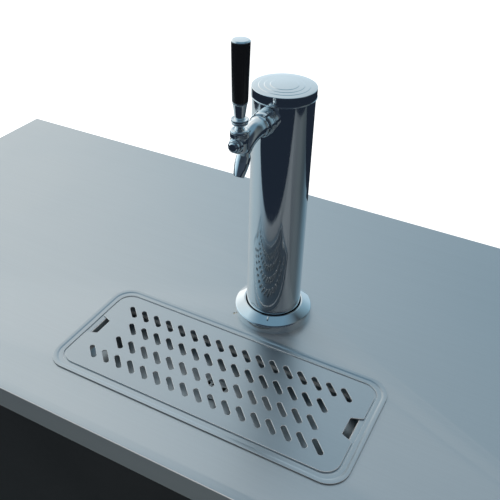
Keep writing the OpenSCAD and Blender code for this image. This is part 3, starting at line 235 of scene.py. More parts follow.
# a darker and a lighter colour
def around(colour, spread):
    return shaded(colour, 1 - spread), shaded(colour, 1 + spread)


# finishes: marks are counted to the metre, depths are in metres; a pair of colours is dark and light,
# "From" is the span of the marks that is used, and "Shares" say how much of each mark is mixed in
satin = {
    "colour": (0.56, 0.60, 0.62), "spread": 0.07, "grain": (3, 420, 420), "cloud": 2.2, "smudge": 9,
    "toneShares": (0.16, 0.14, 0.05), "toneFrom": (0.05, 0.3),
    "roughShares": (0.15, 0.5, 0.35), "roughFrom": (0.3, 0.7), "rough": (0.27, 0.41),
    "metal": (0.84, 1.0), "levelFrom": (0.1, 0.9),      # from upright faces to level ones
    "paintedHighlight": (0.3, 0.93),      # sloped faces between these levels get a painted highlight
    # colour and share of the painted highlight, and how much metal it takes away
    "paintedHighlightColour": (0.92, 0.89, 0.86), "paintedHighlightShare": 0.8,
    "paintedHighlightDull": 0.7, "wornDull": 0.4, "depth": 0.00002, "strength": 0.35,
}


def satinStainless(name, p):
    f = Finish(name)
    level = f.put("ShaderNodeTexCoord", out="Normal").axis("Z").size()
    # painted highlight: sloped faces, such as rounded edges, slot rims and the pan's rim, get a pale colour
    # and less metal, so they show a bright edge line
    paintedHighlight = (level > p["paintedHighlight"][0]) * (level < p["paintedHighlight"][1])
    metal = f.span(level, *p["metal"], *p["levelFrom"])
    f.feed("Metallic", metal * (1 - f.edges() * p["wornDull"]) * (1 - paintedHighlight * p["paintedHighlightDull"]))
    grain = f.noise(1.0, 4, f.stretched(p["grain"]), 0.6)
    marks = (grain, f.noise(p["cloud"], 3, bend=0.4), f.noise(p["smudge"], 5, rough=0.6, bend=0.8))
    tone = f.span(weighed(marks, p["toneShares"]), 0, 1, *p["toneFrom"])
    plain = f.blend(tone, *around(p["colour"], p["spread"]))
    # the pale colour blended onto sloped faces here is a painted highlight
    f.feed("Base Color", f.blend(paintedHighlight * p["paintedHighlightShare"], plain, p["paintedHighlightColour"]))
    f.feed("Roughness", f.span(weighed(marks, p["roughShares"]), *p["rough"], *p["roughFrom"]))
    f.bump(grain, p["depth"], p["strength"])
    return f.material


polish = {
    "colours": ((0.80, 0.83, 0.84), (0.85, 0.87, 0.88)), "haze": 14, "wipe": 3, "wipeStretch": (60, 60, 9),
    "roughShares": (0.6, 0.4), "roughFrom": (0.3, 0.7), "rough": (0.03, 0.085),
}


def mirrorChrome(name, p):
    f = Finish(name, Metallic=1.0)
    haze = f.noise(p["haze"], 4, rough=0.6)
    wipe = f.noise(p["wipe"], 3, f.stretched(p["wipeStretch"]), 0.55)
    f.feed("Base Color", f.blend(haze, *p["colours"]))
    f.feed("Roughness", f.span(weighed((haze, wipe), p["roughShares"]), *p["rough"], *p["roughFrom"]))
    return f.material


enamel = {
    "colours": ((0.013, 0.013, 0.0145), (0.023, 0.0235, 0.026)), "peel": 520, "cloud": 3.5, "dust": 60,
    "toneShares": (0.7, 0.3), "toneFrom": (0.35, 0.7),
    "roughShares": (0.6, 0.4), "roughFrom": (0.3, 0.7), "rough": (0.30, 0.46),
    "depth": 0.00012, "strength": 0.25,
}


def blackSteel(name, p):
    f = Finish(name, Specular_IOR_Level=0.45)
    marks = (f.noise(p["cloud"], 4, rough=0.55), f.noise(p["dust"], 5, rough=0.7))
    tone = f.span(weighed(marks, p["toneShares"]), 0, 1, *p["toneFrom"])
    f.feed("Base Color", f.blend(tone, *p["colours"]))
    f.feed("Roughness", f.span(weighed(marks, p["roughShares"]), *p["rough"], *p["roughFrom"]))
    f.bump(f.noise(p["peel"], 2), p["depth"], p["strength"])
    return f.material


zincCoat = {
    "colour": (0.56, 0.575, 0.6), "darkShare": 0.86, "spangle": 160, "haze": 40, "toneShares": (0.6, 0.4),
    "roughShares": (0.5, 0.5), "rough": (0.26, 0.42), "depth": 0.00005, "strength": 0.3,
}


def plainPlated(name, p):
    f = Finish(name, Metallic=1.0)
    bright = f.put("ShaderNodeSeparateColor", {}, {0: f.cells(p["spangle"], out="Color")}, out=0)
    haze = f.noise(p["haze"], 4)
    tone = weighed((bright, haze), p["toneShares"])
    f.feed("Base Color", f.blend(tone, shaded(p["colour"], p["darkShare"]), p["colour"]))
    f.feed("Roughness", f.span(weighed((bright, haze), p["roughShares"]), *p["rough"]))
    f.bump(haze, p["depth"], p["strength"])
    return f.material


stucco = {
    "colours": ((0.62, 0.64, 0.66), (0.72, 0.74, 0.76)), "pebble": 230, "cloud": 4, "rough": (0.28, 0.42),
    "depth": 0.0004, "strength": 0.5,
}


def stuccoAluminium(name, p):
    f = Finish(name, Metallic=0.3)
    cloud = f.noise(p["cloud"], 3)
    f.feed("Base Color", f.blend(cloud, *p["colours"]))
    f.feed("Roughness", f.span(cloud, *p["rough"]))
    f.bump(f.cells(p["pebble"], feature="SMOOTH_F1"), p["depth"], p["strength"])
    return f.material


finSheet = {
    "colours": ((0.5, 0.52, 0.54), (0.68, 0.7, 0.72)), "streak": (260, 260, 7), "spot": 90,
    "rough": (0.3, 0.5), "depth": 0.0001, "strength": 0.3,
}


def finAluminium(name, p):
    f = Finish(name, Metallic=1.0)
    streak = f.noise(1, 3, f.stretched(p["streak"]))
    f.feed("Base Color", f.blend(streak, *p["colours"]))
    f.feed("Roughness", f.span(f.noise(p["spot"], 3), *p["rough"]))
    f.bump(streak, p["depth"], p["strength"])
    return f.material


copperTube = {
    "colours": ((0.34, 0.16, 0.09), (0.68, 0.36, 0.22)), "tarnish": 22, "fine": 300, "toneFrom": (0.35, 0.65),
    "roughShares": (0.7, 0.3), "rough": (0.22, 0.44), "depth": 0.00004, "strength": 0.3,
}


def drawnCopper(name, p):
    f = Finish(name, Metallic=1.0)
    tarnish = f.noise(p["tarnish"], 5, rough=0.65)
    fine = f.noise(p["fine"], 2)
    f.feed("Base Color", f.blend(f.span(tarnish, 0, 1, *p["toneFrom"]), *p["colours"]))
    f.feed("Roughness", f.span(weighed((tarnish, fine), p["roughShares"]), *p["rough"]))
    f.bump(fine, p["depth"], p["strength"])
    return f.material


foam = {
    "yellow": ((0.60, 0.49, 0.25), (0.80, 0.70, 0.42)), "dark": ((0.012, 0.012, 0.013), (0.03, 0.03, 0.032)),
    "cell": 420, "lump": 18, "toneShares": (0.5, 0.6), "heightShares": (1.0, 0.5), "rough": (0.8, 0.95),
    "depth": 0.0008, "strength": 0.5,
}


def rigidFoam(name, p, colours):
    f = Finish(name)
    marks = (f.cells(p["cell"]), f.noise(p["lump"], 4))
    f.feed("Base Color", f.blend(weighed(marks, p["toneShares"]), *p[colours]))
    f.feed("Roughness", f.span(marks[1], *p["rough"]))
    f.bump(weighed(marks, p["heightShares"]), p["depth"], p["strength"])
    return f.material


plastics = {
    "linerPlastic": {"colour": (0.72, 0.735, 0.75), "spread": 0.1, "grain": 700, "depth": 0.00006,
                     "rough": (0.28, 0.38)},
    "blackPlastic": {"colour": (0.018, 0.018, 0.019), "spread": 0.2, "grain": 900, "depth": 0.00012,
                     "rough": (0.4, 0.52)},
    "gripPlastic": {"colour": (0.008, 0.008, 0.009), "spread": 0.2, "grain": 300, "depth": 0.00003,
                    "rough": (0.16, 0.26)},
    "cloud": 6, "roughShares": (0.6, 0.4), "roughFrom": (0.3, 0.7), "strength": 0.5,
}


def formedPlastic(name, every):
    f, p = Finish(name), every[name]
    pebble = f.noise(p["grain"], 2)
    cloud = f.noise(every["cloud"], 3)
    f.feed("Base Color", f.blend(cloud, *around(p["colour"], p["spread"])))
    dull = weighed((cloud, pebble), every["roughShares"])
    f.feed("Roughness", f.span(dull, *p["rough"], *every["roughFrom"]))
    f.bump(pebble, p["depth"], every["strength"])
    return f.material


rubber = {
    "colours": ((0.018, 0.018, 0.019), (0.045, 0.045, 0.047)), "bloom": 35, "bloomFrom": (0.4, 0.75),
    "fine": 900, "rough": (0.55, 0.75), "depth": 0.00006, "strength": 0.4,
}


def softRubber(name, p):
    f = Finish(name, Specular_IOR_Level=0.3)
    bloom = f.noise(p["bloom"], 5, rough=0.6)
    f.feed("Base Color", f.blend(f.span(bloom, 0, 1, *p["bloomFrom"]), *p["colours"]))
    f.feed("Roughness", f.span(bloom, *p["rough"]))
    f.bump(f.noise(p["fine"], 2), p["depth"], p["strength"])
    return f.material


hose = {"colours": ((0.76, 0.79, 0.76), (0.86, 0.88, 0.86)), "cloud": 30, "rough": (0.12, 0.24)}


def clearHose(name, p):
    f = Finish(name, Transmission_Weight=0.75, IOR=1.4)
    cloud = f.noise(p["cloud"], 3)
    f.feed("Base Color", f.blend(cloud, *p["colours"]))
    f.feed("Roughness", f.span(cloud, *p["rough"]))
    return f.material


# each material slot of the record and its finish
finishOf = {
    "black_steel": blackSteel("blackSteel", enamel),
    "stainless": satinStainless("satinStainless", satin),
    "zinc_steel": plainPlated("platedSteel", zincCoat),
    "chrome": mirrorChrome("mirrorChrome", polish),
    "liner_metal": stuccoAluminium("linerAluminium", stucco),
    "fin_metal": finAluminium("finAluminium", finSheet),
    "copper": drawnCopper("drawnCopper", copperTube),
    "foam": rigidFoam("rigidFoam", foam, "yellow"),
    "dark_foam": rigidFoam("darkFoam", foam, "dark"),
    "liner_plastic": formedPlastic("linerPlastic", plastics),
    "gasket_rubber": softRubber("gasketRubber", rubber),
    "black_plastic": formedPlastic("blackPlastic", plastics),
    "grip_plastic": formedPlastic("gripPlastic", plastics),
    "hose": clearHose("clearHose", hose),
}


def dress(thing, material):
    thing.data.materials.clear()
    thing.data.materials.append(material)


for name, thing in nodes.items():
    dress(thing, finishOf[slotOf[name]])
print("finishes")


# shapes: drawn in millimetres, brought to metres when a piece is kept
def meshOf(name, points, faces=()):
    mesh = bpy.data.meshes.new(name)
    mesh.from_pydata(points, [], faces)
    return mesh


# a skin over rings of equally many points; a loop ends in its first ring, anything else may be capped
def weave(name, rings, loop=False, capped=True):
    count = len(rings[0])
    points = [p for ring in rings for p in ring]
    faces = []
    for i in range(len(rings) if loop else len(rings) - 1):
        a, b = i * count, (i + 1) % len(rings) * count
        faces += [(a + j, a + (j + 1) % count, b + (j + 1) % count, b + j) for j in range(count)]
    if capped and not loop:
        faces += [tuple(range(count))[::-1], tuple(range(len(points) - count, len(points)))]
    return meshOf(name, points, faces)


# a closed outline with its corners rounded, from (x, y, radius)
def rounded(corners, steps=5):
    out = []
    for i, (x, y, r) in enumerate(corners):
        here = Vector((x, y))
        if not r:
            out.append(here)
            continue
        a = (Vector(corners[i - 1][:2]) - here).normalized()
        b = (Vector(corners[(i + 1) % len(corners)][:2]) - here).normalized()
        half = a.angle(b) / 2
        middle = here + (a + b).normalized() * (r / sin(half))
        start = here + a * (r / tan(half)) - middle
        end = here + b * (r / tan(half)) - middle
        sweep = atan2(start.x * end.y - start.y * end.x, start.dot(end))
        for k in range(steps + 1):
            c, s = cos(sweep * k / steps), sin(sweep * k / steps)
            out.append(middle + Vector((start.x * c - start.y * s, start.x * s + start.y * c)))
    return out


def circle(r, centre=(0, 0), z=0, steps=48):
    return [Vector((centre[0] + r * cos(2 * pi * j / steps), centre[1] + r * sin(2 * pi * j / steps), z))
            for j in range(steps)]


# a circle in the plane of two directions at right angles
def ringRound(place, side, up, radius, steps):
    angles = [2 * pi * j / steps for j in range(steps)]
    return [place + radius * (side * cos(a) + up * sin(a)) for a in angles]


def lathe(name, profile, steps=96):
    return weave(name, [circle(p[0], z=p[1], steps=steps) for p in profile], loop=True)


def roundRect(w, d, r, z, steps=10):
    out = []
    for k, (sx, sy) in enumerate(((1, 1), (-1, 1), (-1, -1), (1, -1))):
        for j in range(steps + 1):
            t = (k + j / steps) * pi / 2
            out.append(Vector((sx * (w / 2 - r) + r * cos(t), sy * (d / 2 - r) + r * sin(t), z)))
    return out


def shifted(outline, x, y):
    return [q + Vector((x, y, 0)) for q in outline]


# a flat sheet between two heights, with holes; the outer wall is left open when rim is False
def sheet(name, outer, holes, z0, z1, rim=True):
    loops = [outer] + holes
    flat = [p for loop in loops for p in loop]
    fill = tessellate_polygon([[Vector((p.x, p.y, 0)) for p in loop] for loop in loops])
    n = len(flat)
    points = [Vector((p.x, p.y, z1)) for p in flat] + [Vector((p.x, p.y, z0)) for p in flat]
    faces = [tuple(t) for t in fill] + [tuple(i + n for i in reversed(t)) for t in fill]
    start = 0
    for k, loop in enumerate(loops):
        m = len(loop)
        if k or rim:
            edge = [(start + j, start + (j + 1) % m) for j in range(m)]
            faces += [(i, j, j + n, i + n) for i, j in edge]
        start += m
    return meshOf(name, points, faces)


def joined(name, meshes):
    both = bmesh.new()
    for mesh in meshes:
        both.from_mesh(mesh)
    out = bpy.data.meshes.new(name)
    both.to_mesh(out)
    both.free()
    return out


# turned about the origin first, then moved
def moved(mesh, offset=(0, 0, 0), turn=None):
    if turn is not None:
        mesh.transform(turn.to_4x4())
    mesh.transform(Matrix.Translation(offset))
    return mesh


def turnAbout(axis, degrees):
    return Matrix.Rotation(radians(degrees), 3, axis)


# heights along Z become lengths towards the front, -Y
towardsFront = turnAbout("X", 90)


# a mesh in millimetres becomes a piece in metres that stands for a node and rides with it; its faces that
# square up with one of the flat axes are shaded flat
def keep(name, mesh, node, angle=32, flat=(), merge=0.0005, square=0.99995):
    shape = bmesh.new()
    shape.from_mesh(mesh)
    bmesh.ops.remove_doubles(shape, verts=shape.verts, dist=merge)
    bmesh.ops.dissolve_degenerate(shape, dist=merge / 2, edges=shape.edges)
    bmesh.ops.recalc_face_normals(shape, faces=shape.faces)
    shape.to_mesh(mesh)
    shape.free()
    mesh.transform(Matrix.Scale(0.001, 4))
    mesh.shade_smooth()
    mesh.set_sharp_from_angle(angle=radians(angle))
    for face in mesh.polygons:
        if any(abs(getattr(face.normal, axis)) > square for axis in flat):
            face.use_smooth = False
    thing = bpy.data.objects.new(name, mesh)
    bpy.context.scene.collection.objects.link(thing)
    dress(thing, finishOf[slotOf[node]])
    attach(thing, bodyOf[node])
    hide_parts(node)


# geometry node groups that grow a piece from points, with named inputs
class Growth(Graph):
    kinds = {int: "NodeSocketInt", float: "NodeSocketFloat", tuple: "NodeSocketVector"}

    def __init__(self, name, **inputs):
        super().__init__(bpy.data.node_groups.new(name, "GeometryNodeTree"))
        face = self.tree.interface
        face.new_socket("Geometry", in_out="OUTPUT", socket_type="NodeSocketGeometry")
        face.new_socket("Points", in_out="INPUT", socket_type="NodeSocketGeometry")
        self.values = {}
        for key, value in inputs.items():
            kind = self.kinds.get(type(value), "NodeSocketMaterial")
            self.values[face.new_socket(key, in_out="INPUT", socket_type=kind).identifier] = value
        self.entry = self.tree.nodes.new("NodeGroupInput")

    def take(self, key):
        return Wire(self, self.entry.outputs[key])

    # a square grid with sides of 1, and its corners' two places, to be bent into a shape
    def cloth(self, across, along):
        grid = self.put("GeometryNodeMeshGrid", {}, {"Size X": 1.0, "Size Y": 1.0, "Vertices X": across,
                                                     "Vertices Y": along}, out="Mesh")
        place = self.put("GeometryNodeInputPosition")
        return grid, place.axis("X"), place.axis("Y")

    # the group is finished, run on the points and turned into a plain mesh
    def grow(self, name, points, geometry):
        real = self.put("GeometryNodeRealizeInstances", {}, {0: geometry})
        done = self.put("GeometryNodeSetMaterial", {}, {"Geometry": real, "Material": self.take("finish")})
        self.put("NodeGroupOutput", {}, {0: done})
        thing = bpy.data.objects.new(name, points)
        bpy.context.scene.collection.objects.link(thing)
        modifier = thing.modifiers.new("grow", "NODES")
        modifier.node_group = self.tree
        for identifier, value in self.values.items():
            modifier[identifier] = value
        grown = bpy.data.meshes.new_from_object(thing.evaluated_get(bpy.context.evaluated_depsgraph_get()))
        thing.modifiers.remove(modifier)
        bpy.data.objects.remove(thing)
        return grown


# places that several pieces share
worktopHeight = 940
trayAt = (-6.8, -161.7)
columnAt = (0, -9)

# worktop: a folded sheet with a soft top edge, cut out for the tray and the column
worktop = {
    "halfWidth": 743, "halfDepth": 316, "foot": 902, "sheet": 1.2, "lip": 12, "plateInset": 12,
    "edgeRadius": 1.4, "footRadius": 1.8, "lipRadius": 0.5, "innerFootRadius": 0.6, "innerEdgeRadius": 1.0,
    "cornerRadius": 2.6, "leastCorner": 0.2, "trayCut": (398, 155.3, 21.8),
    "lineHole": 27, "screws": 4, "screwRing": 45, "screwHole": 2.2, "spareAt": (-44, -45.5), "spareHole": 1.6,
}


def makeWorktop(w):
    t, foot, lip, inset, hem = (w[k] for k in ("sheet", "foot", "lip", "plateInset", "lipRadius"))
    top = worktopHeight
    section = rounded([(inset, top, 0), (0, top, w["edgeRadius"]), (0, foot, w["footRadius"]),
                       (lip, foot, hem), (lip, foot + t, hem), (t, foot + t, w["innerFootRadius"]),
                       (t, top - t, w["innerEdgeRadius"]), (inset, top - t, 0)], 6)
    rings = []
    for u, z in section:
        corner = max(w["leastCorner"], w["cornerRadius"] - u)
        rings.append(roundRect(2 * (w["halfWidth"] - u), 2 * (w["halfDepth"] - u), corner, z, 6))
    holes = [shifted(roundRect(*w["trayCut"], top), *trayAt), circle(w["lineHole"], columnAt)]
    for k in range(w["screws"]):
        a = 2 * pi * (k + 0.5) / w["screws"]
        at = (columnAt[0] + w["screwRing"] * cos(a), columnAt[1] + w["screwRing"] * sin(a))
        holes.append(circle(w["screwHole"], at, steps=16))
    holes.append(circle(w["spareHole"], w["spareAt"], steps=20))
    plate = sheet("worktopPlate", rings[0], holes, top - t, top, rim=False)
    edge = weave("worktopEdge", rings, capped=False)
    keep("worktopSheet", joined("worktop", [edge, plate]), "worktop", 25, flat="z")


makeWorktop(worktop)

# drip tray: one pressed pan, its rim stepped down towards the grille
pan = {
    "rim": (420.6, 179.3, 28), "drain": 16.4, "floorReach": 24,
    "mouthInset": 13.1, "mouthCorner": 20, "floorInset": 20, "floorCorner": 5, "leastCorner": 1,
    # inset from the rim's outer edge, height over the worktop and corner radius, along both faces
    "upper": [(2.2, 0, 0), (2.2, 1.4, 0.1), (0, 1.45, 0.15), (0, 2.0, 0.25), (4.6, 1.45, 3), (6.4, 0.75, 2),
              (11.5, 0.75, 0.5), (11.7, -0.8, 0), (19.3, -0.8, 1.6), (20.2, -26, 5)],
    "lower": [(18.6, -27.2, 5), (18.1, -2.0, 0.8), (10.5, -2.0, 0.8), (10.5, 0, 0.2)],
}


def makePan(p):
    w, d, r = p["rim"]
    inset, under = p["lower"][0][:2]
    over = p["upper"][-1][1]
    floor = [(inset + p["floorReach"], over, 0), (inset + p["floorReach"], under, 0)]
    line = rounded(p["upper"] + floor + p["lower"], 4)
    rings = []
    for u, z in line:
        mouth = r + (p["mouthCorner"] - r) * min(1, u / p["mouthInset"]) - max(0, u - p["mouthInset"])
        corner = max(p["floorCorner"] - max(0, u - p["floorInset"]), mouth, p["leastCorner"])
        rings.append(roundRect(w - 2 * u, d - 2 * u, corner, z, 10))
    # the floor runs from its ring to the round drain hole
    low = max(range(len(line)), key=lambda i: (line[i][0], line[i][1]))
    angles = [atan2(q.y, q.x) for q in rings[low]]
    hole = [[Vector((p["drain"] * cos(a), p["drain"] * sin(a), z)) for a in angles] for z in (over, under)]
    rings = rings[:low + 1] + hole + rings[low + 1:]
    keep("trayPan", moved(weave("trayPan", rings, loop=True), (*trayAt, worktopHeight)), "tray_pan", 40)


makePan(pan)

# drip grille: the edge is drawn, the slots are grown on loose points
grille = {
    "height": 941.2, "size": (393.2, 150.5), "corner": 20, "thick": 2.0, "edge": 0.55, "edgeSteps": 8,
    # finger notches: depth, half width at their floor and at their mouth; then the corners there
    "notch": (15, 14, 20), "floorCorner": 1.2, "mouthCorner": 1,
    "rows": (17, 15, 15, 17), "pitch": 20.45, "rowPitch": 30.5, "slot": (24.5, 7.0), "slotTurn": -pi / 4,
}


def grilleOutline(p, d):
    w, h = p["size"][0] / 2 - d, p["size"][1] / 2 - d
    deep, inner, mouth = p["notch"]
    floor, edge = p["floorCorner"], p["mouthCorner"]
    x, r = p["size"][0] / 2 - deep - d, max(1, p["corner"] - d)
    right = [(w, -h, r), (w, -mouth - d, edge), (x, -inner - d, floor), (x, inner + d, floor),
             (w, mouth + d, edge), (w, h, r)]
    return rounded(right + [(-a, -b, q) for a, b, q in right], 7)


# each loose point gets a slot's wall; then the plate is filled in round all the walls
def growSlots(p, material):
    g = Growth("slottedPlate", slotLength=p["slot"][0], slotWidth=p["slot"][1],
               turn=(0.0, 0.0, p["slotTurn"]), thickness=p["thick"], edge=p["edge"], around=31, across=9,
               finish=material)
    points, edge, thick = g.take("Points"), g.take("edge"), g.take("thickness")
    loose = g.put("GeometryNodeInputMeshVertexNeighbors", out="Vertex Count") < 0.5
    wall, u, v = g.cloth(g.take("around"), g.take("across"))
    angle, lean = (u + 0.5) * (2 * pi), (v + 0.5) * pi
    radius = g.take("slotWidth") / 2 + edge * (1 - lean.sine())
    straight = (g.take("slotLength") - g.take("slotWidth")) / 2
    x = angle.cosine().sign() * straight + radius * angle.cosine()
    z = lean.cosine() * edge + lean.cosine().sign() * (thick / 2 - edge) - thick / 2
    place = g.point(x, radius * angle.sine(), z)
    slot = g.put("GeometryNodeSetPosition", {}, {"Geometry": wall, "Position": place})
    slot = g.put("GeometryNodeMergeByDistance", {}, {"Geometry": slot, "Distance": 0.001})
    slots = g.put("GeometryNodeInstanceOnPoints", {}, {"Points": points, "Selection": loose, "Instance": slot,
                                                       "Rotation": g.take("turn")})
    slots = g.put("GeometryNodeRealizeInstances", {}, {0: slots})
    rim = g.put("GeometryNodeDeleteGeometry", {"domain": "POINT"}, {"Geometry": points, "Selection": loose})
    walls = g.put("GeometryNodeJoinGeometry", {}, {0: [rim, slots]})
    high = g.put("GeometryNodeInputPosition").axis("Z") > -0.0005
    loops = g.put("GeometryNodeMeshToCurve", {}, {"Mesh": walls, "Selection": high})
    upper = g.put("GeometryNodeFillCurve", {}, {"Curve": loops})
    under = g.put("GeometryNodeTransform", {}, {"Geometry": upper, "Translation": g.point(z=thick * -1)})
    under = g.put("GeometryNodeFlipFaces", {}, {"Mesh": under})
    whole = g.put("GeometryNodeJoinGeometry", {}, {0: [walls, upper, under]})
    return g, g.put("GeometryNodeMergeByDistance", {}, {"Geometry": whole, "Distance": 0.002})


def makeGrille(p):
    t, e, steps, rows = p["thick"], p["edge"], p["edgeSteps"], p["rows"]
    rings = []
    for j in range(steps + 1):
        lean = pi * j / steps
        side = (2 * j < steps) - (2 * j > steps)      # 1 above the middle, -1 below it
        z = e * cos(lean) + side * (t / 2 - e) - t / 2
        rings.append([Vector((q.x, q.y, z)) for q in grilleOutline(p, e * (1 - sin(lean)))])
    base = bmesh.new()
    base.from_mesh(weave("grilleEdge", rings, capped=False))
    for row, count in enumerate(rows):
        y = ((len(rows) - 1) / 2 - row) * p["rowPitch"]
        for i in range(count):
            base.verts.new(((i - (count - 1) / 2) * p["pitch"], y, 0))
    points = bpy.data.meshes.new("grillePoints")
    base.to_mesh(points)
    base.free()
    g, whole = growSlots(p, finishOf["stainless"])
    plate = moved(g.grow("slottedGrille", points, whole), (*trayAt, p["height"]))
    keep("slottedGrille", plate, "tray_grille", 30, flat="z")


makeGrille(grille)

# column foot and cap: turned rings, profile as (radius, height, corner radius)
columnDress = {
    "ring": [(55, 0, 0.4), (55, 12.6, 3.4), (41.9, 20.4, 1.3), (39.5, 20.2, 0.6), (39.5, 18.4, 0.4),
             (53.2, 10.4, 2), (53.2, 0, 0.3)],
    "capHeight": 1279,
    "cap": [(39.75, -10.5, 0.4), (39.75, -9.6, 0.4), (39.3, -9.0, 0.3), (39.3, 2.0, 0.7), (31.2, 2.1, 0.5),
            (30.4, 2.55, 0.4), (24.4, 2.6, 0.5), (23.6, 3.05, 0.4), (17.4, 3.1, 0.5), (16.6, 3.55, 0.4),
            (0, 3.6, 0), (0, 0.02, 0), (38.4, 0.02, 0.3), (38.4, -10.5, 0.3)],
    "steps": 128,
}


def makeColumnDress(p):
    ring = lathe("footRing", rounded(p["ring"], 7), p["steps"])
    cap = lathe("columnCap", rounded(p["cap"], 4), p["steps"])
    keep("footRing", moved(ring, (*columnAt, worktopHeight)), "trim_ring", 40)
    keep("columnCap", moved(cap, (*columnAt, p["capHeight"])), "column_cap", 40)


makeColumnDress(columnDress)
print("worktop, tray and column")

# tap, drawn with its axis at the origin and its front towards -Y, in millimetres from there
tap = {
    "at": (*columnAt, 1254), "lever": -109.5, "columnRadius": 38.1,
    "horn": {"start": 72, "turn": 61, "bend": 26, "rootRadius": 11.6, "endRadius": 7.4, "taper": 1.15,
             "steps": 18},
    # (length, radius) behind the bend
    "root": [(53, 12.55), (64.2, 12.55), (64.8, 12.1), (67.4, 11.5), (72, 11.55)],
    # (radius, length along the spout, corner radius)
    "spout": [(7.4, 0.5, 0), (6.5, 4.6, 2.5), (8.3, 9.5, 4), (8.5, 16.5, 12), (7.7, 24, 12), (6.3, 32.6, 0.7),
              (4.5, 33, 0.3), (4.4, 8, 0)],
    # the upright barrel that carries the bonnet, and the boss of the front plug
    "barrel": [(9.8, -9.2, 1.2), (10.4, -6, 2), (10.4, 2, 2), (9.9, 6.9, 0.4), (0, 6.9, 0), (0, -9.8, 0),
               (8.4, -9.8, 1)],
    "boss": [(8.6, 0, 0), (8.3, 9.6, 1.2), (6.7, 10.4, 0.4), (0, 10.4, 0), (0, 0, 0)],
    "nut": {"radius": 15, "notches": 6, "width": 2.6, "depth": 2.1},
    # (length along the axis, radius, corner radius): notched outside, then bead, groove, lip and bore
    "nutOutside": [(61, 13.2, 0.2), (61, 14.5, 1.1), (53.2, 14.5, 0)],
    "nutRest": [(53.2, 14.5, 0), (53, 15, 0.4), (50.4, 15, 0.7), (50.1, 13.2, 0.3), (47.1, 13.2, 0.3),
                (46.9, 14.1, 0.3), (45, 14.1, 0.2), (45, 11.2, 0), (53, 11.2, 0), (53, 12.7, 0),
                (61, 12.7, 0.2)],
    "bonnet": [(5.8, 15.0, 0.3), (7.4, 16.0, 0.6), (10.4, 16.0, 2.3), (10.4, 12.9, 0.3), (10.1, 12.6, 0),
               (10.1, 12.5, 0)],
    "knurl": {"from": 12.4, "to": 7.7, "radius": 10.5, "depth": 0.36, "ribs": 60, "ribSteps": 6},
    "bonnetFoot": [(10.3, 7.6, 0), (10.3, 7, 0.2), (5.8, 7, 0)],
    "collar": [(0, 20.1, 0), (6.4, 20.1, 0.4), (9.0, 22.6, 1.4), (9.0, 24.1, 0.5), (7.9, 24.4, 0.3),
               (7.9, 25, 0.3), (9.6, 25.1, 0.8), (9.75, 27.9, 0.7), (8.6, 28, 0.4), (6.4, 27.3, 0.8),
               (5.4, 28, 0.8), (7.7, 44.8, 0.8), (8.2, 45.3, 0.3), (8.2, 46.6, 0.4), (0, 46.6, 0)],
    "grip": {"foot": 8.6, "footInner": 6.6, "top": 9.9, "from": 46.6, "to": 110, "round": 1.4,
             "bevel": (0.25, 0.4), "flutes": 12, "fluteSteps": 16, "depth": 0.42, "fluteShare": 0.36,
             "fadeFrom": 0.5, "fade": 3},
    "crown": [(0, 110, 0), (9.5, 110, 0), (9.95, 110.3, 0.3), (9.95, 110.9, 0.3), (8.4, 112.1, 0.3),
              (0, 112.2, 0)],
    "plug": [(0, 119.4, 0), (6.6, 119.4, 0.3), (6.6, 123.9, 0.5), (5.6, 124.0, 0.15), (5.4, 124.1, 0.2),
             (4.3, 125.5, 0.5), (0, 125.5, 0)],
    "saddle": {"radius": 14.0, "bore": 11.2, "front": 45, "back": 40, "edge": 0.3},
}
leverAt = Vector(tap["at"]) + Vector((0, tap["lever"], 0))


# rings round a path of (point, direction, radius)
def tubeRings(path, steps=40):
    x = Vector((1, 0, 0))
    return [ringRound(point, x, x.cross(along).normalized(), radius, steps) for point, along, radius in path]


# the body: a curved horn that thins towards the spout
def makeTapBody(p):
    h = p["horn"]
    path = [(Vector((0, -y, 0)), Vector((0, -1, 0)), r) for y, r in p["root"]]
    for i in range(1, h["steps"] + 1):
        t, share = radians(h["turn"]) * i / h["steps"], i / h["steps"]
        foot = Vector((0, -h["start"] - h["bend"] * sin(t), -h["bend"] * (1 - cos(t))))
        along = Vector((0, -cos(t), -sin(t)))
        path.append((foot, along, h["rootRadius"] + (h["endRadius"] - h["rootRadius"]) * share ** h["taper"]))
    path += [(foot + along * down, along, r) for r, down in rounded(p["spout"], 4)]
    at = (0, p["lever"], 0)
    parts = [weave("horn", tubeRings(path)), moved(lathe("barrel", rounded(p["barrel"], 4), 56), at),
             moved(lathe("boss", rounded(p["boss"], 4), 48), at, towardsFront)]
    keep("tapBody", moved(joined("tapBody", parts), p["at"]), "faucet_body", 36)


# a ring with square notches in its outside; a depth of 0 gives the same points on the plain ring
def notchedRing(radius, z, depth, nut, steps=9):
    ring = []
    half = nut["width"] / 2
    high = (radius ** 2 - half ** 2) ** 0.5
    low = min(high, nut["radius"] - depth)
    corners = [(high, -half), (low, -half), (low, half), (high, half)]
    edge = atan2(half, high)
    span = 2 * pi / nut["notches"] - 2 * edge
    angles = [edge + span * j / steps for j in range(1, steps)]
    arc = [(radius * cos(a), radius * sin(a)) for a in angles]
    for k in range(nut["notches"]):
        turn = Matrix.Rotation(2 * pi * k / nut["notches"], 2)
        ring += [Vector((*(turn @ Vector(c)), z)) for c in corners + arc]
    return ring


def makeCouplingNut(p):
    nut, bead, end = p["nut"], p["nutRest"][0][0], p["nutRest"][-1][1]
    line = rounded(p["nutOutside"] + p["nutRest"], 4)
    split = max(i for i, q in enumerate(line) if q.x > bead and q.y > end) + 1
    rings = [notchedRing(q.y, q.x, nut["depth"] if i <= split else 0, nut) for i, q in enumerate(line)]
    nutMesh = moved(weave("couplingNut", rings, loop=True), p["at"], towardsFront)
    keep("couplingNut", nutMesh, "coupling_nut", 30)


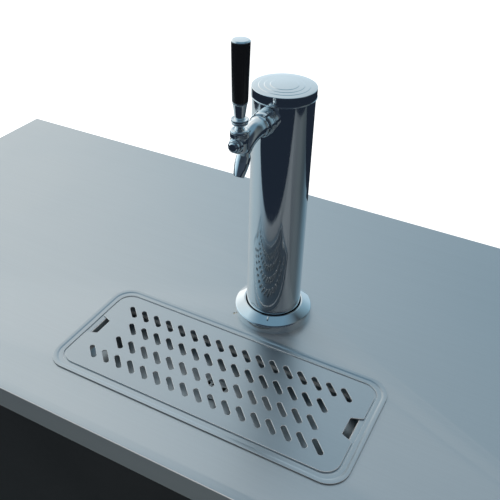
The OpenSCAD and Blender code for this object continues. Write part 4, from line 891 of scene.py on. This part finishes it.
# the ring between nut and column: its back follows the column's round
def makeSaddle(p):
    q, steps = p["saddle"], 64
    section = [(q["bore"], q["front"], 0), (q["radius"], q["front"], q["edge"]), (q["radius"], q["back"], 0)]
    rings = [circle(r, z=z, steps=steps) for r, z in rounded(section, 4)]
    for r in (q["radius"], q["bore"]):
        ring = circle(r, steps=steps)
        rings.append([Vector((a.x, a.y, (p["columnRadius"] ** 2 - a.x ** 2) ** 0.5)) for a in ring])
    saddle = moved(weave("columnSaddle", rings, loop=True), p["at"], towardsFront)
    keep("columnSaddle", saddle, "shank_flange", 30)


def makeBonnet(p):
    k = p["knurl"]
    steps = k["ribs"] * k["ribSteps"]
    over, under = ([circle(r, z=z, steps=steps) for r, z in rounded(p[part], 4)]
                   for part in ("bonnet", "bonnetFoot"))
    reach = [k["radius"] - k["depth"] * (0.5 + 0.5 * cos(2 * pi * j / k["ribSteps"])) for j in range(steps)]
    ribbed = [[Vector((a.x * r, a.y * r, z)) for a, r in zip(circle(1, steps=steps), reach)]
              for z in (k["from"], k["to"])]
    bonnet = moved(weave("tapBonnet", over + ribbed + under, loop=True), leverAt)
    keep("tapBonnet", bonnet, "faucet_bonnet", 24)


# the fluted grip: every ring dips where a flute runs
def fluted(g):
    steps, low, high, (inset, drop) = g["flutes"] * g["fluteSteps"], g["from"], g["to"], g["bevel"]
    side = rounded([(g["footInner"], low, 0), (g["foot"], low, g["round"]), (g["top"], high - drop, 0)], 5)
    rings = []
    for r, z in [(0, low)] + [tuple(q) for q in side] + [(g["top"] - inset, high), (0, high)]:
        fade = min(1, max(0, (z - low - g["fadeFrom"]) / g["fade"]))
        ring = []
        for j in range(steps):
            place = abs((j / g["fluteSteps"]) % 1 - 0.5) / g["fluteShare"] * 2
            reach = r - g["depth"] * fade * max(0, 1 - place ** 2) if r else 0
            ring.append(Vector((reach * cos(2 * pi * j / steps), reach * sin(2 * pi * j / steps), z)))
        rings.append(ring)
    return weave("tapGrip", rings, capped=False)


def makeLever(p):
    keep("leverCollar", moved(lathe("leverCollar", rounded(p["collar"], 4), 80), leverAt), "lever_collar", 36)
    keep("tapGrip", moved(fluted(p["grip"]), leverAt), "tap_handle", 28)
    keep("gripCrown", moved(lathe("gripCrown", rounded(p["crown"], 4), 80), leverAt), "handle_cap", 36)
    plug = moved(lathe("frontPlug", rounded(p["plug"], 4), 64), p["at"], towardsFront)
    keep("frontPlug", plug, "front_plug", 36)


makeTapBody(tap)
makeCouplingNut(tap)
makeSaddle(tap)
makeBonnet(tap)
makeLever(tap)
print("tap")

# machine compartment front: a folded sheet with pressed louvres
louvres = {
    "x": (-738, -411), "z": (46, 894), "front": 304, "back": 239, "sheet": 1.5, "lip": 14, "inset": 12,
    "edge": 2, "backEdge": 0.4, "lipEdge": 0.3, "innerEdge": 0.6, "corner": 1.5, "leastCorner": 0.3,
    "columns": (-645, -501), "first": 106, "pitch": 20, "rows": 16, "slot": (118.0, 8, 3.5),
    "hood": 7.0, "rise": 9.5, "drop": 4.0, "wall": 1.3, "end": 9.0,
}


# a hood on each point: the first half of the cloth's width is its outside, the second its inside
def growHoods(p):
    g = Growth("pressedHoods", length=p["slot"][0], hood=p["hood"], rise=p["rise"], drop=p["drop"],
               wall=p["wall"], end=p["end"], around=25, along=23, finish=finishOf["black_steel"])
    cloth, u, v = g.cloth(g.take("around"), g.take("along"))
    u = u + 0.5
    # stations along the louvre gather at its two ends, where it closes down to the sheet
    x = (v * 2 * (pi / 2)).sine() * g.take("length") / 2
    past = ((x.size() - (g.take("length") / 2 - g.take("end"))) / g.take("end")).most(0).least(1)
    swell = (1 - past * past).most(0) ** 0.5
    lean = (1 - (u * 2 - 1).size()) * (pi / 2)
    thin = g.take("wall") * swell * ((1 - u) * 8).least(1) * (u > 0.501)
    out = (g.take("hood") * swell - thin).most(0) * lean.sine()
    high = (g.take("rise") - thin) * lean.cosine() - g.take("drop")
    hood = g.put("GeometryNodeSetPosition", {}, {"Geometry": cloth, "Position": g.point(x, high, out)})
    hood = g.put("GeometryNodeMergeByDistance", {}, {"Geometry": hood, "Distance": 0.002})
    return g, g.put("GeometryNodeInstanceOnPoints", {}, {"Points": g.take("Points"), "Instance": hood})


def makeMachineGrille(p):
    w, h = p["x"][1] - p["x"][0], p["z"][1] - p["z"][0]
    x, z = sum(p["x"]) / 2, sum(p["z"]) / 2
    t, front, back, lip, inset, hem = (p[k] for k in ("sheet", "front", "back", "lip", "inset", "lipEdge"))
    section = rounded([(inset, front, 0), (0, front, p["edge"]), (0, back, p["backEdge"]), (lip, back, hem),
                       (lip, back + t, hem), (t, back + t, hem), (t, front - t, p["innerEdge"]),
                       (inset, front - t, 0)], 5)
    rings = [roundRect(w - 2 * u, h - 2 * u, max(p["leastCorner"], p["corner"] - u), y, 4)
             for u, y in section]
    spots = [(c - x, p["first"] - z + i * p["pitch"]) for c in p["columns"] for i in range(p["rows"])]
    holes = [shifted(roundRect(*p["slot"], 0, 4), *q) for q in spots]
    g, whole = growHoods(p)
    parts = [weave("grilleFold", rings, capped=False),
             sheet("louvreFace", rings[0], holes, front - t, front, rim=False),
             g.grow("hoods", meshOf("hoodSpots", [(*q, front - t) for q in spots]), whole)]
    mesh = moved(joined("machineGrille", parts), (x, 0, z), towardsFront)
    keep("machineGrille", mesh, "machine_grille", 35, flat="y")


makeMachineGrille(louvres)

# doors: formed liner with its raised ring, folded gasket, finger pocket
doors = {
    "size": (566, 848), "height": 470, "left": -121, "right": 451,
    "corner": 4, "cornerLoss": 0.1, "leastCorner": 1,
    # inset from the door's edge, depth along Y and corner radius
    "liner": [(1.0, 256, 0), (1.0, 254, 0.8), (39, 254, 1.5), (42, 246, 2.5), (52, 246, 2.5), (56, 254, 3),
              (86, 254, 2), (90, 253, 2), (94, 253, 0)],
    "gasket": [(16, 254, 0), (16, 252.6, 0.4), (17.6, 251, 0.5), (16.5, 249.4, 0.5), (19.4, 247.8, 0.5),
               (18.4, 246.2, 0.5), (19.6, 244.6, 0.4), (19.6, 242.5, 0.7), (26.4, 242.5, 0.7),
               (26.4, 244.6, 0.4), (27.6, 246.2, 0.5), (26.6, 247.8, 0.5), (29.5, 249.4, 0.5),
               (28.4, 251, 0.5), (30, 252.6, 0.4), (30, 254, 0)],
    "pocket": (44, 110, 6), "pocketAt": (225, 239),
    # growth over the pocket's opening, depth along Y and corner radius
    "cup": [(-7, 282, 0), (-1.4, 282, 5), (0, 302, 3), (0.4, 306, 1.2), (5, 306, 1.1), (5, 304, 0.2),
            (2, 304, 0), (2, 280, 6), (-6, 280, 0)],
}


def frameRings(p, line):
    w, h = p["size"]
    return [roundRect(w - 2 * u, h - 2 * u, max(p["leastCorner"], p["corner"] - u * p["cornerLoss"]), y, 5)
            for u, y in rounded(line, 4)]


def makeDoor(p, side, sign):
    at = Vector((p[side], 0, p["height"]))
    name, node = side.capitalize(), "door_%s_" % side
    liner = weave("liner", frameRings(p, p["liner"]))
    keep("doorLiner" + name, moved(liner, at, towardsFront), node + "liner", 40, flat="y")
    seal = weave("gasket", frameRings(p, p["gasket"]), loop=True)
    keep("doorGasket" + name, moved(seal, at, towardsFront), node + "gasket", 50)
    w, h, r = p["pocket"]
    x, z = p["pocketAt"]
    rings = [roundRect(w + 2 * u, h + 2 * u, max(1, r + u), y, 6) for u, y in rounded(p["cup"], 5)]
    cup = moved(weave("pocket", rings), at + Vector((sign * x, 0, z)), towardsFront)
    keep("fingerPocket" + name, cup, node + "handle", 40)


makeDoor(doors, "left", 1)
makeDoor(doors, "right", -1)
print("machine grille and doors")


# pipes with bent corners
def bentPipe(name, points, radius, bend, steps=14, bendSteps=8):
    points = [Vector(q) for q in points]
    line = [points[0]]
    for before, here, after in zip(points, points[1:], points[2:]):
        a, b = (before - here).normalized(), (after - here).normalized()
        half = a.angle(b) / 2
        middle = here + (a + b).normalized() * (bend / sin(half))
        start = here + a * (bend / tan(half)) - middle
        end = here + b * (bend / tan(half)) - middle
        for k in range(bendSteps + 1):
            turn = Matrix.Rotation(start.angle(end) * k / bendSteps, 3, start.cross(end))
            line.append(middle + turn @ start)
    line.append(points[-1])
    rings, side = [], None
    for i, here in enumerate(line):
        along = (line[min(i + 1, len(line) - 1)] - line[max(i - 1, 0)]).normalized()
        side = (side - along * side.dot(along)).normalized() if side else along.orthogonal().normalized()
        rings.append(ringRound(here, side, along.cross(side), radius, steps))
    return weave(name, rings)


# fin coils: tubes through wavy fins, return bends at one end; drawn with their width along X
coils = {
    "condenser": {"width": 250.0, "deep": 44.0, "high": 260.0, "fins": 61, "bendsFrom": 0, "rows": 5,
                  "at": (-573, -193, 58), "turn": 0},
    "evaporator": {"width": 246.0, "deep": 44.0, "high": 250.0, "fins": 50, "bendsFrom": 75, "rows": 4,
                   "at": (-338.8, 43.8, 610), "turn": 90},
}
coilDress = {
    "fin": 0.5, "finInset": 1, "stations": 25, "wave": 0.7, "period": 11.0, "plate": 2.0, "plateCorner": 2,
    "tube": 4.5, "stub": 1, "bend": 11.0,
    "bendShare": 0.999,      # a full share would leave no straight between two bends
}


def growFins(p, d):
    g = Growth("finPack", fin=d["fin"], deep=p["deep"] - d["finInset"], high=p["high"] - d["finInset"],
               wave=d["wave"], period=d["period"], finish=finishOf["fin_metal"])
    size = g.point(g.take("fin"), g.take("deep"), g.take("high"))
    plate = g.put("GeometryNodeMeshCube", {}, {"Size": size, "Vertices Y": d["stations"]}, out="Mesh")
    y = g.put("GeometryNodeInputPosition").axis("Y")
    shift = g.point((y * (2 * pi) / g.take("period")).sine() * g.take("wave"))
    plate = g.put("GeometryNodeSetPosition", {}, {"Geometry": plate, "Offset": shift})
    return g, g.put("GeometryNodeInstanceOnPoints", {}, {"Points": g.take("Points"), "Instance": plate})


def makeCoil(kind, p, d):
    w, h, t, r = p["width"], p["high"], d["plate"], d["bend"]
    pitch = (w - 2 * t) / (p["fins"] + 1)
    spots = [(-w / 2 + t + (i + 1) * pitch, 0, h / 2) for i in range(p["fins"])]
    g, whole = growFins(p, d)
    parts = [g.grow("fins", meshOf("finSpots", spots), whole)]
    stand = Matrix(((0, 0, 1), (1, 0, 0), (0, 1, 0)))      # a flat plate on edge, across X
    for x in (-w / 2, w / 2 - t):
        plate = sheet("endPlate", roundRect(p["deep"], h, d["plateCorner"], 0, 3), [], 0, t)
        parts.append(moved(plate, (x, 0, h / 2), stand))
    step = (h - p["bendsFrom"]) / p["rows"]
    near, far = -w / 2 - d["stub"], w / 2 + r
    for i in range(p["rows"]):
        z = p["bendsFrom"] + (i + 0.5) * step
        points = [(near, 0, z - r), (far, 0, z - r), (far, 0, z + r), (near, 0, z + r)]
        parts.append(bentPipe("hairpin", points, d["tube"], r * d["bendShare"]))
    keep(kind + "Coil", moved(joined("coil", parts), p["at"], turnAbout("Z", p["turn"])), kind + "_coil", 40)


for kind, one in coils.items():
    makeCoil(kind, one, coilDress)

# refrigerant lines, with bent corners: radius, bend and points
lines = {
    "suction": (5, 16, [(-550.5, 150.8, 226), (-550.5, 150.8, 660), (-550.5, 202.8, 660),
                        (-338.8, 202.8, 660), (-338.8, 166.8, 660)]),
    "liquid": (3, 12, [(-693, -193, 318), (-693, -193, 636), (-693, 202.8, 636), (-338.8, 202.8, 636),
                       (-338.8, 166.8, 636)]),
    "discharge": (3, 11, [(-595.5, 150.8, 226), (-595.5, 150.8, 344), (-595.5, -193, 344),
                          (-595.5, -193, 318)]),
}
pipes = [bentPipe(name, points, radius, bend) for name, (radius, bend, points) in lines.items()]
keep("copperLines", joined("copperLines", pipes), "refrigerant_lines", 40)

# fans: twisted, cambered blades on a round hub; drawn with the axis along Y, the front at y = 0
fans = {
    "condenserFan": {"node": "condenser_fan", "radius": 100, "at": (-573, -164, 188), "turn": 0},
    "evaporatorFan": {"node": "evaporator_fan", "radius": 75, "at": (-232.3, 65.8, 735), "turn": 90},
}
fanDress = {
    "deep": 24, "hubShare": 0.16, "hubWall": 3, "hubFloor": 4, "hubCorner": 4, "boss": 6, "bore": 3.05,
    "hubSteps": 64,
    "blades": 5, "rootShare": 0.9, "tipGap": 0.6, "spread": (58, 50), "trimFrom": 0.7, "trim": 3.15,
    "half": 9.5, "camber": 3.0, "wall": 1.0, "spans": 9, "chords": 12,
}


def fanBlade(p, d, turn):
    rings = []
    root, tip = p["radius"] * d["hubShare"] * d["rootShare"], p["radius"] - d["tipGap"]
    wide, narrow = d["spread"]
    for i in range(d["spans"]):
        k = i / (d["spans"] - 1)
        r = root + (tip - root) * k
        spread = radians(wide + (narrow - wide) * k) * (1 - d["trim"] * max(0, k - d["trimFrom"]) ** 2)
        ring = []
        for j in range(2 * d["chords"]):
            front = j < d["chords"]
            c = j / d["chords"] - 0.5 if front else 1.5 - j / d["chords"]
            arch = 1 - 4 * c * c
            face = (1 if front else -1) * d["wall"] * arch ** 0.5
            a = turn + c * spread
            y = d["deep"] / 2 + 2 * c * d["half"] + d["camber"] * arch * 0.5 + face
            ring.append(Vector((r * sin(a), y, r * cos(a))))
        rings.append(ring)
    return weave("blade", rings)


def makeFan(name, p, d):
    hub, deep, bore, boss, floor = p["radius"] * d["hubShare"], d["deep"], d["bore"], d["boss"], d["hubFloor"]
    wall = hub - d["hubWall"]
    line = rounded([(bore, 0, 0), (hub, 0, d["hubCorner"]), (hub, deep, 1), (wall, deep, 0.5),
                    (wall, floor, 1), (boss, floor, 1), (boss, deep, 0.5), (bore, deep, 0)], 4)
    parts = [moved(lathe("hub", line, d["hubSteps"]), turn=turnAbout("X", -90))]
    parts += [fanBlade(p, d, 2 * pi * i / d["blades"]) for i in range(d["blades"])]
    keep(name, moved(joined(name, parts), p["at"], turnAbout("Z", p["turn"])), p["node"], 40)


for name, one in fans.items():
    makeFan(name, one, fanDress)

# levelling feet: a moulded pad, a threaded stem and a lock nut
feet = {
    "places": [(x, y) for x in (-678, 165, 678) for y in (-179, 250)],
    "pad": [(0, 0, 0), (16, 0, 0.8), (19, 2.2, 1), (19, 6.5, 2), (9, 10, 2), (0, 10, 0)],
    "stem": (5.2, 6.0, 9.0, 32.0, 1.75),      # root and crest radius, from, to, pitch
    "nut": (10, 25, 32, 1.0, 0.6),            # radius, from, to, bevel inwards and along
}


def makeFeet(p):
    low, high, z0, z1, pitch = p["stem"]
    turns = int((z1 - z0) / pitch)
    thread = [(high if j % 2 else low, z0 + (j + 0.5) * pitch / 2) for j in range(2 * turns)]
    r, n0, n1, inset, drop = p["nut"]
    nut = [[Vector((q * cos(pi * j / 3 + pi / 6), q * sin(pi * j / 3 + pi / 6), z)) for j in range(6)]
           for q, z in ((r - inset, n0), (r, n0 + drop), (r, n1 - drop), (r - inset, n1))]
    stem = lathe("stem", [(0, z0), *thread, (0, z1)], 24)
    one = joined("foot", [lathe("pad", rounded(p["pad"], 4), 48), stem, weave("nut", nut)])
    every = [moved(one.copy(), (x, y, 0)) for x, y in p["places"]]
    keep("levellingFeet", joined("feet", every), "levelling_feet", 35)


makeFeet(feet)

# compressor: a drawn can with a rolled seam on its plate; heights over the floor
can = {
    "at": (-573, 150.8, 0), "plate": (220, 170, 10), "plateZ": (47, 50), "boltAt": (92, 67), "bolt": 4,
    "profile": [(0, 50, 0), (44, 50, 2), (54, 55, 12), (75, 96, 40), (75, 132.7, 0), (77.9, 133, 0.8),
                (77.9, 139.4, 0.8), (75, 139.7, 0), (75, 174, 34), (58, 212, 34), (28, 221, 40), (0, 222, 0)],
    "ports": (-22.5, 22.5),
    "port": [(0, 195, 0), (6, 195, 0), (6, 231.4, 0.6), (5.4, 232.2, 0.3), (0, 232.2, 0)],
}


def makeCompressor(p):
    x, y = p["boltAt"]
    holes = [circle(p["bolt"], (sx * x, sy * y), steps=24) for sx in (-1, 1) for sy in (-1, 1)]
    parts = [sheet("plate", roundRect(*p["plate"], 0, 6), holes, *p["plateZ"]),
             lathe("can", rounded(p["profile"], 6), 96)]
    parts += [moved(lathe("port", rounded(p["port"], 3), 32), (x, 0, 0)) for x in p["ports"]]
    keep("compressorCan", moved(joined("compressor", parts), p["at"]), "compressor", 35)


makeCompressor(can)

# carried-over pieces that get a softened copy: its name, and the radius of its edges
softEdges = {
    "hinge_brackets": ("hingeBrackets", 0.6), "evaporator_housing": ("evaporatorCover", 0.5),
    "thermostat": ("thermostatBody", 1.2), "thermostat_knob": ("thermostatKnob", 0.8),
    "condenser_shroud": ("fanShroud", 0.5), "condenser_motor": ("condenserMotor", 0.8),
    "evaporator_motor": ("evaporatorMotor", 0.8), "condensate_tray": ("condensatePan", 0.7),
    "compressor_mounts": ("compressorGrommets", 0.8), "drain_strainer": ("drainStrainer", 0.4),
    "door_left_panel": ("doorSkinLeft", 0.55), "door_right_panel": ("doorSkinRight", 0.55),
}


# edges that turn by more than the angle are rounded
def soften(node, name, radius, angle=50, merge=0.01, segments=2):
    shape = bmesh.new()
    shape.from_mesh(nodes[node].data)
    bmesh.ops.scale(shape, vec=(1000, 1000, 1000), verts=shape.verts)
    bmesh.ops.remove_doubles(shape, verts=shape.verts, dist=merge)
    bmesh.ops.dissolve_limit(shape, angle_limit=radians(1), verts=shape.verts, edges=shape.edges)
    sharp = [e for e in shape.edges if e.is_manifold and e.calc_face_angle(0) > radians(angle)]
    bmesh.ops.bevel(shape, geom=sharp, offset=radius, segments=segments, profile=0.5, affect="EDGES",
                    clamp_overlap=True)
    mesh = bpy.data.meshes.new(name)
    shape.to_mesh(mesh)
    shape.free()
    keep(name, mesh, node, 35, flat="xyz")


for node, (name, radius) in softEdges.items():
    soften(node, name, radius)
print("cooling unit, feet and softened pieces")


# room: a pale floor, surroundings that the camera sees white and bright metal sees coloured, soft lamps
room = {
    "floorSize": 14.0,
    "floorColour": (0.8, 0.8, 0.8, 1),
    "floorGlow": 0.7,          # what the camera sees is brighter by this
    "white": (1, 1, 1, 1),
    "daylight": 0.55,          # strength of the surroundings on matt things
    "daylightColour": (0.93, 0.97, 1.0, 1),
    # what bright metal sees round about, by degrees to the right of straight behind
    "around": [(-180, (0.028, 0.040, 0.058)), (-138, (0.028, 0.040, 0.058)), (-117, (0.21, 0.34, 0.44)),
               (-74, (0.60, 0.77, 0.86)), (-22, (0.88, 0.90, 0.90)), (0, (0.58, 0.69, 0.76)),
               (20, (0.42, 0.53, 0.61)), (52, (0.23, 0.38, 0.48)), (80, (0.05, 0.07, 0.085)),
               (107, (0.12, 0.145, 0.155)), (125, (0.03, 0.042, 0.06)), (180, (0.028, 0.040, 0.058))],
    "ground": [(-180, (0.014, 0.021, 0.034)), (-36, (0.014, 0.021, 0.034)), (-32, (0.62, 0.70, 0.74)),
               (8, (0.66, 0.75, 0.79)), (14, (0.014, 0.021, 0.034)), (180, (0.014, 0.021, 0.034))],
    "behind": 27.1,            # azimuth of straight behind, turned left from +Y, in degrees
    "overhead": (0.15, 0.27, 0.37),
    "overheadFrom": (0.76, 0.93),      # heights, of 1, where the overhead colour begins and is full
    "horizonFrom": (0.45, 0.2),        # heights where the surroundings begin to brighten and are brightest
    "horizonLift": 0.35,
    "nearFloor": (0.05, 0.068, 0.073),      # what bright metal sees on the floor in front, within this reach
    "nearReach": 1.5,
}
lamps = {
    "keyLamp": {"at": (-2.2, 0.9, 3.2), "aim": (0, 0, 0.9), "size": 2.6, "watts": 60.0,
                "colour": (1, 0.99, 0.97)},
    "fillLamp": {"at": (1.9, -2.4, 2.6), "aim": (0, 0, 0.8), "size": 2.4, "watts": 12.0,
                 "colour": (0.95, 0.98, 1)},
}


# 1 for camera rays and transmitted ones, and 1 for glossy ones
def raysSeen(g):
    names = ("Is Camera Ray", "Is Glossy Ray", "Is Transmission Ray")
    camera, glossy, through = [g.put("ShaderNodeLightPath", out=name) for name in names]
    return camera.most(through), glossy


# a colour by the direction from the middle, as degrees to the right of straight behind
def roundAbout(g, where, stops, behind):
    turned = g.put("ShaderNodeMapping", {}, {"Vector": where, "Rotation": (0, 0, radians(-behind))})
    x = turned.axis("X")
    angle = x.reckon("ARCTAN2", x, turned.axis("Y")) / (2 * pi) + 0.5
    stops = [(degrees / 360 + 0.5, colour) for degrees, colour in stops]
    return g.put("ShaderNodeValToRGB", {"stops": stops}, {"Fac": angle}, out="Color")


def makeWorld(r):
    world = bpy.data.worlds.new("surroundings")
    bpy.context.scene.world = world
    world.use_nodes = True
    g = Graph(world.node_tree)
    camera, glossy = raysSeen(g)
    way = g.put("ShaderNodeTexCoord", out="Generated")
    height = way.axis("Z")
    level = roundAbout(g, way, r["around"], r["behind"])
    sky = g.blend(g.span(height, 0, 1, *r["overheadFrom"]), level, r["overhead"])
    lift = g.span(height, 0, 1, *r["horizonFrom"]) * r["horizonLift"] + 1
    lit = g.put("ShaderNodeBackground", {}, {"Color": r["daylightColour"], "Strength": r["daylight"]})
    mirrored = g.put("ShaderNodeBackground", {}, {"Color": sky, "Strength": lift})
    shown = g.put("ShaderNodeBackground", {}, {"Color": r["white"], "Strength": 1.0})
    mixed = g.put("ShaderNodeMixShader", {}, {0: glossy, 1: lit, 2: mirrored})
    both = g.put("ShaderNodeMixShader", {}, {0: camera, 1: mixed, 2: shown})
    g.put("ShaderNodeOutputWorld", {}, {"Surface": both})


def makeFloor(r):
    h = r["floorSize"] / 2
    floor = bpy.data.objects.new("floor", meshOf("floor", [(-h, -h, 0), (h, -h, 0), (h, h, 0), (-h, h, 0)],
                                                 [(0, 1, 2, 3)]))
    bpy.context.scene.collection.objects.link(floor)
    material = bpy.data.materials.new("paleFloor")
    material.use_nodes = True
    g = Graph(material.node_tree)
    camera, glossy = raysSeen(g)
    matt = g.put("ShaderNodeBsdfDiffuse", {}, {"Color": r["floorColour"]})
    glow = g.put("ShaderNodeEmission", {}, {"Color": r["white"], "Strength": camera * r["floorGlow"]})
    pale = g.put("ShaderNodeAddShader", {}, {0: matt, 1: glow})
    place = g.put("ShaderNodeTexCoord", out="Object")
    reach = g.put("ShaderNodeVectorMath", {"operation": "LENGTH"}, {0: place}, out="Value")
    near = (reach < r["nearReach"]) * (place.axis("Y") < 0)
    seen = g.blend(near, roundAbout(g, place, r["ground"], r["behind"]), r["nearFloor"])
    mirrored = g.put("ShaderNodeEmission", {}, {"Color": seen, "Strength": 1.0})
    both = g.put("ShaderNodeMixShader", {}, {0: glossy, 1: pale, 2: mirrored})
    g.put("ShaderNodeOutputMaterial", {}, {"Surface": both})
    floor.data.materials.append(material)


def makeLamp(name, p):
    data = bpy.data.lights.new(name, "AREA")
    data.shape = "SQUARE"
    data.size = p["size"]
    data.energy = p["watts"]
    data.color = p["colour"]
    lamp = bpy.data.objects.new(name, data)
    lamp.location = p["at"]
    lamp.visible_glossy = False
    lamp.rotation_euler = (Vector(p["aim"]) - Vector(p["at"])).to_track_quat("-Z", "Y").to_euler()
    bpy.context.scene.collection.objects.link(lamp)


makeWorld(room)
makeFloor(room)
for name, one in lamps.items():
    makeLamp(name, one)
print("room")
